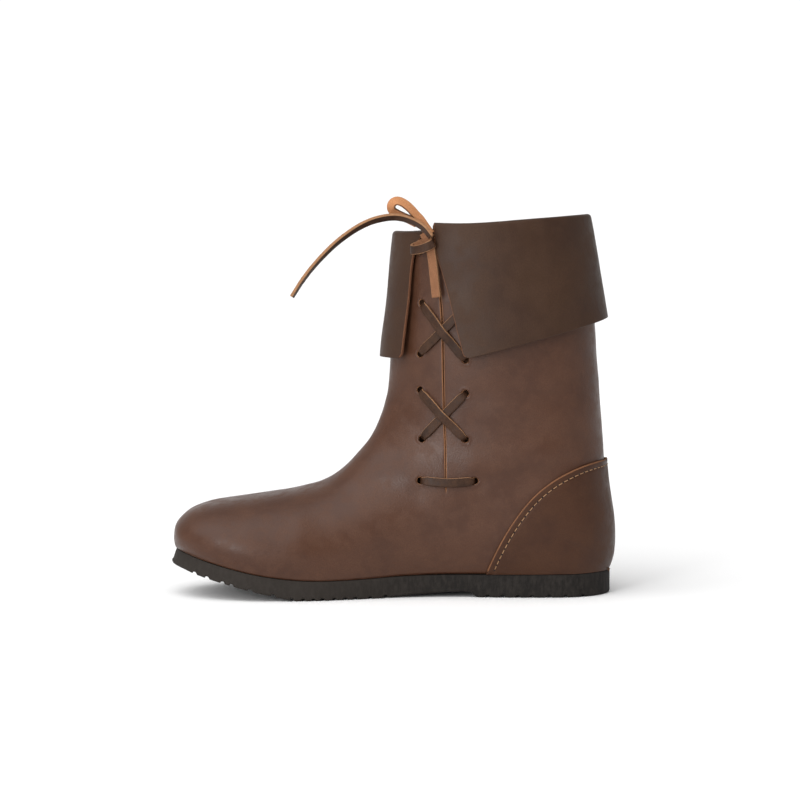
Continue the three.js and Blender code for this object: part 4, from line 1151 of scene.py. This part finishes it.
bar = laceRun("thongBar", *holeRows[0], [(0.5, 0.9, 9)], sag=1.4)
lowUnder = laceRun("thongLowUnder", holeRows[1][0], holeRows[2][1], [(0.5, 0.2, 8)])
lowOver = laceRun("thongLowOver", holeRows[2][0], holeRows[1][1], [(0.5, 2.0, 7)])
highUnder = laceRun("thongHighUnder", holeRows[3][0], holeRows[4][1], [(0.5, 0.2, 8)])
highOver = laceRun("thongHighOver", holeRows[4][0], holeRows[3][1], [(0.5, 2.0, 7)])
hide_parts("lace_bar")
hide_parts("lace_cross_low")
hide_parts("lace_cross_high")
for piece in (knot, loop, longEnd, shortEnd, bar, lowUnder, lowOver, highUnder, highOver):
    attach(piece, "root")
print("lacing")

# Stitches along the counter


def instanceGroup():
    group = bpy.data.node_groups.new("stitchRow", "GeometryNodeTree")
    group.is_modifier = True
    face = group.interface
    face.new_socket("Geometry", in_out="INPUT", socket_type="NodeSocketGeometry")
    face.new_socket("Stitch", in_out="INPUT", socket_type="NodeSocketObject")
    face.new_socket("Finish", in_out="INPUT", socket_type="NodeSocketMaterial")
    face.new_socket("Size spread", in_out="INPUT", socket_type="NodeSocketFloat")
    face.new_socket("Seed", in_out="INPUT", socket_type="NodeSocketInt")
    face.new_socket("Geometry", in_out="OUTPUT", socket_type="NodeSocketGeometry")
    start, end = group.nodes.new("NodeGroupInput"), group.nodes.new("NodeGroupOutput")
    run = addNode(group, "GeometryNodeInputNamedAttribute", {"Name": "run"}, data_type="FLOAT_VECTOR")
    out = addNode(group, "GeometryNodeInputNamedAttribute", {"Name": "out"}, data_type="FLOAT_VECTOR")
    first = addNode(group, "FunctionNodeAlignRotationToVector", {"Vector": run.outputs[0]}, axis="X")
    second = addNode(group, "FunctionNodeAlignRotationToVector",
                     {"Rotation": first.outputs[0], "Vector": out.outputs[0]}, axis="Z", pivot_axis="X")
    size = addNode(group, "FunctionNodeRandomValue", {"Seed": start.outputs["Seed"]}, data_type="FLOAT")
    least = addNode(group, "ShaderNodeMath", {0: 1.0, 1: start.outputs["Size spread"]}, operation="SUBTRACT")
    most = addNode(group, "ShaderNodeMath", {0: 1.0, 1: start.outputs["Size spread"]}, operation="ADD")
    group.links.new(least.outputs[0], size.inputs[2])
    group.links.new(most.outputs[0], size.inputs[3])
    thing = addNode(group, "GeometryNodeObjectInfo", {"Object": start.outputs["Stitch"]})
    points = addNode(group, "GeometryNodeMeshToPoints", {"Mesh": start.outputs["Geometry"]})
    placed = addNode(group, "GeometryNodeInstanceOnPoints", {
        "Points": points.outputs[0], "Instance": thing.outputs["Geometry"],
        "Rotation": second.outputs[0], "Scale": size.outputs[1],
    })
    real = addNode(group, "GeometryNodeRealizeInstances", {"Geometry": placed.outputs[0]})
    finish = addNode(group, "GeometryNodeSetMaterial", {
        "Geometry": real.outputs[0], "Material": start.outputs["Finish"],
    })
    group.links.new(finish.outputs[0], end.inputs[0])
    return group


# one stitch lying along X: a short thread whose ends go down into the leather
def stitchMesh(name, length, radius, arch):
    t = np.linspace(-1, 1, 11)
    x = t * length / 2
    z = arch * (1 - t**4) - 0.42 * np.abs(t) ** 6
    ring = np.arange(8) * math.pi / 4
    points = [(x[i], radius * math.cos(a), z[i] + radius * math.sin(a)) for i in range(len(t)) for a in ring]
    faces = []
    for i in range(len(t) - 1):
        for j in range(8):
            k = (j + 1) % 8
            faces.append((i * 8 + j, i * 8 + k, (i + 1) * 8 + k, (i + 1) * 8 + j))
    faces += [tuple(range(8))[::-1], tuple(range(80, 88))]
    return smallMesh(name, points, faces)


# a needle hole: a shallow dish, dark with painted shade
def needleMesh(name, radius, depth):
    ring = np.arange(10) * 2 * math.pi / 10
    points = [(radius * math.cos(a), radius * math.sin(a), 0.03) for a in ring]
    points += [(radius * 0.9 * math.cos(a), radius * 0.9 * math.sin(a), -depth) for a in ring]
    faces = [(j, (j + 1) % 10, 10 + (j + 1) % 10, 10 + j)[::-1] for j in range(10)]
    faces += [tuple(range(10)), tuple(range(10, 20))[::-1]]
    return smallMesh(name, points, faces)


def smallMesh(name, points, faces):
    mesh = bpy.data.meshes.new(name)
    mesh.from_pydata((np.array(points) * mm).tolist(), [], faces)
    mesh.shade_smooth()
    return bpy.data.objects.new(name, mesh)


def stitchRow(name, shape, places, runs, outs, finish, sizeSpread, seed):
    mesh = bpy.data.meshes.new(name)
    mesh.from_pydata(toFrame(places).tolist(), [], [])
    for key, values in (("run", runs), ("out", outs)):
        data = mesh.attributes.new(key, "FLOAT_VECTOR", "POINT").data
        data.foreach_set("vector", np.asarray(values, np.float32).ravel())
    carrier = bpy.data.objects.new(name + "Points", mesh)
    scene.collection.objects.link(carrier)
    group = bpy.data.node_groups.get("stitchRow") or instanceGroup()
    modifier = carrier.modifiers.new("stitches", "NODES")
    modifier.node_group = group
    names = {item.name: item.identifier for item in group.interface.items_tree if item.in_out == "INPUT"}
    modifier[names["Stitch"]] = shape
    modifier[names["Finish"]] = finish
    modifier[names["Size spread"]] = sizeSpread
    modifier[names["Seed"]] = seed
    view = carrier.evaluated_get(bpy.context.evaluated_depsgraph_get())
    made = bpy.data.meshes.new_from_object(view)
    made.name = name
    piece = bpy.data.objects.new(name, made)
    scene.collection.objects.link(piece)
    bpy.data.objects.remove(carrier)
    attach(piece, "root")
    return piece


def counterStitches(side):
    line = counterLine()
    run = unit(np.gradient(line, axis=0))
    inward = np.stack([run[:, 1], -run[:, 0]], -1)
    row = line + inward * counterLook["stitchIn"]
    row = row[row[:, 1] > bedZ(row[:, 0]) + counterLook["lowestStitch"]]
    s, turn = placeAt(row[:, 0], row[:, 1], side)
    keep = np.abs(turn) < counterLook["lastStitch"]
    s, turn = s[keep], turn[keep]
    out = skinOut(s, turn)
    grooveFloor = counterLook["gap"] + counterLook["thick"] - counterLook["groove"]
    at = skinPoint(s, turn) + out * (grooveFloor + counterLook["threadLift"])
    gone = np.concatenate([[0], np.cumsum(np.linalg.norm(np.diff(at, axis=0), axis=1))])
    tangent = unit(np.gradient(at, axis=0))
    pitch = counterLook["pitch"]
    middles = np.arange(gone[-1], pitch, -pitch)[::-1]  # the two sides' rows meet at the back

    def pick(distances):
        value = lambda values: np.stack([np.interp(distances, gone, values[:, k]) for k in range(3)], -1)
        return value(at), value(tangent), value(out)

    label = "Inner" if side < 0 else "Outer"
    stitch = stitchMesh("stitchShape" + label, counterLook["stitchLength"], counterLook["threadRadius"],
                        counterLook["stitchArch"])
    places, runs, outs = pick(middles)
    stitchRow("stitches" + label, stitch, places, runs, unit(outs), thread, 0.06, 11)
    # dark dishes of painted shade stand for the needle holes
    dish = needleMesh("needleShape" + label, counterLook["holeRadius"], counterLook["holeDepth"])
    places, runs, outs = pick(middles - pitch / 2)
    places = places + counterLook["holeLift"] * outs
    stitchRow("needleHoles" + label, dish, places, runs, unit(outs), needleHoleShade, 0.1, 12)


for side in (-1, 1):
    counterStitches(side)
print("stitches")

# Floor, light and world

light = {
    "room": 0.5, "backdrop": 1.06, "backdropEdge": 14, "roomEdge": 40,  # edges in degrees off straight ahead
    "sun": 2.3, "sunAngle": 72, "sunFrom": (-0.34, -0.42, 0.84),
    # the box in front, in watts and metres
    "front": 13.0, "frontAt": (-0.8, -1.62, 0.42), "frontTo": (0, 0, 0.1), "frontSize": (0.35, 0.6),
}
floorHalf = 30  # metres


def areaLight(name, place, target, size, power):
    data = bpy.data.lights.new(name, "AREA")
    data.shape, data.energy = "RECTANGLE", power
    data.size, data.size_y = size
    lamp = bpy.data.objects.new(name, data)
    lamp.location = place
    lamp.rotation_euler = (Vector(target) - Vector(place)).to_track_quat("-Z", "Y").to_euler()
    scene.collection.objects.link(lamp)


# a grey room with a white backdrop behind the boot
def makeWorld():
    world = bpy.data.worlds.new("studio")
    scene.world = world
    world.use_nodes = True
    tree = world.node_tree
    way = addNode(tree, "ShaderNodeTexCoord").outputs["Generated"]
    ahead = addNode(tree, "ShaderNodeVectorMath", {0: way, 1: (0, 1, 0)}, operation="DOT_PRODUCT")
    roomEdge, backdropEdge = (math.cos(math.radians(light[key])) for key in ("roomEdge", "backdropEdge"))
    strength = spread(tree, ahead.outputs["Value"], roomEdge, backdropEdge, light["room"], light["backdrop"])
    tree.links.new(strength, tree.nodes["Background"].inputs["Strength"])
    tree.nodes["Background"].inputs["Color"].default_value = (1, 1, 1, 1)


def makeStage():
    mesh = bpy.data.meshes.new("floor")
    corners = [(x * floorHalf, y * floorHalf, 0) for x, y in ((-1, -1), (1, -1), (1, 1), (-1, 1))]
    mesh.from_pydata(corners, [], [(0, 1, 2, 3)])
    # Matt white photo paper: no sheen, nearly all light goes back
    paper = {"Base Color": (0.96, 0.96, 0.96, 1), "Roughness": 0.9, "Specular IOR Level": 0.1}
    mesh.materials.append(newMaterial("paperFloor", paper)[0])
    floor = bpy.data.objects.new("floor", mesh)
    scene.collection.objects.link(floor)
    sun = bpy.data.lights.new("softSun", "SUN")
    sun.energy, sun.angle = light["sun"], math.radians(light["sunAngle"])
    lamp = bpy.data.objects.new("softSun", sun)
    lamp.rotation_euler = (-Vector(light["sunFrom"])).to_track_quat("-Z", "Y").to_euler()
    scene.collection.objects.link(lamp)
    areaLight("frontBox", light["frontAt"], light["frontTo"], light["frontSize"], light["front"])
    scene.view_settings.view_transform = "Standard"
    scene.view_settings.look = "None"
    scene.view_settings.exposure = 0.0
    scene.view_settings.gamma = 1.0


makeWorld()
makeStage()
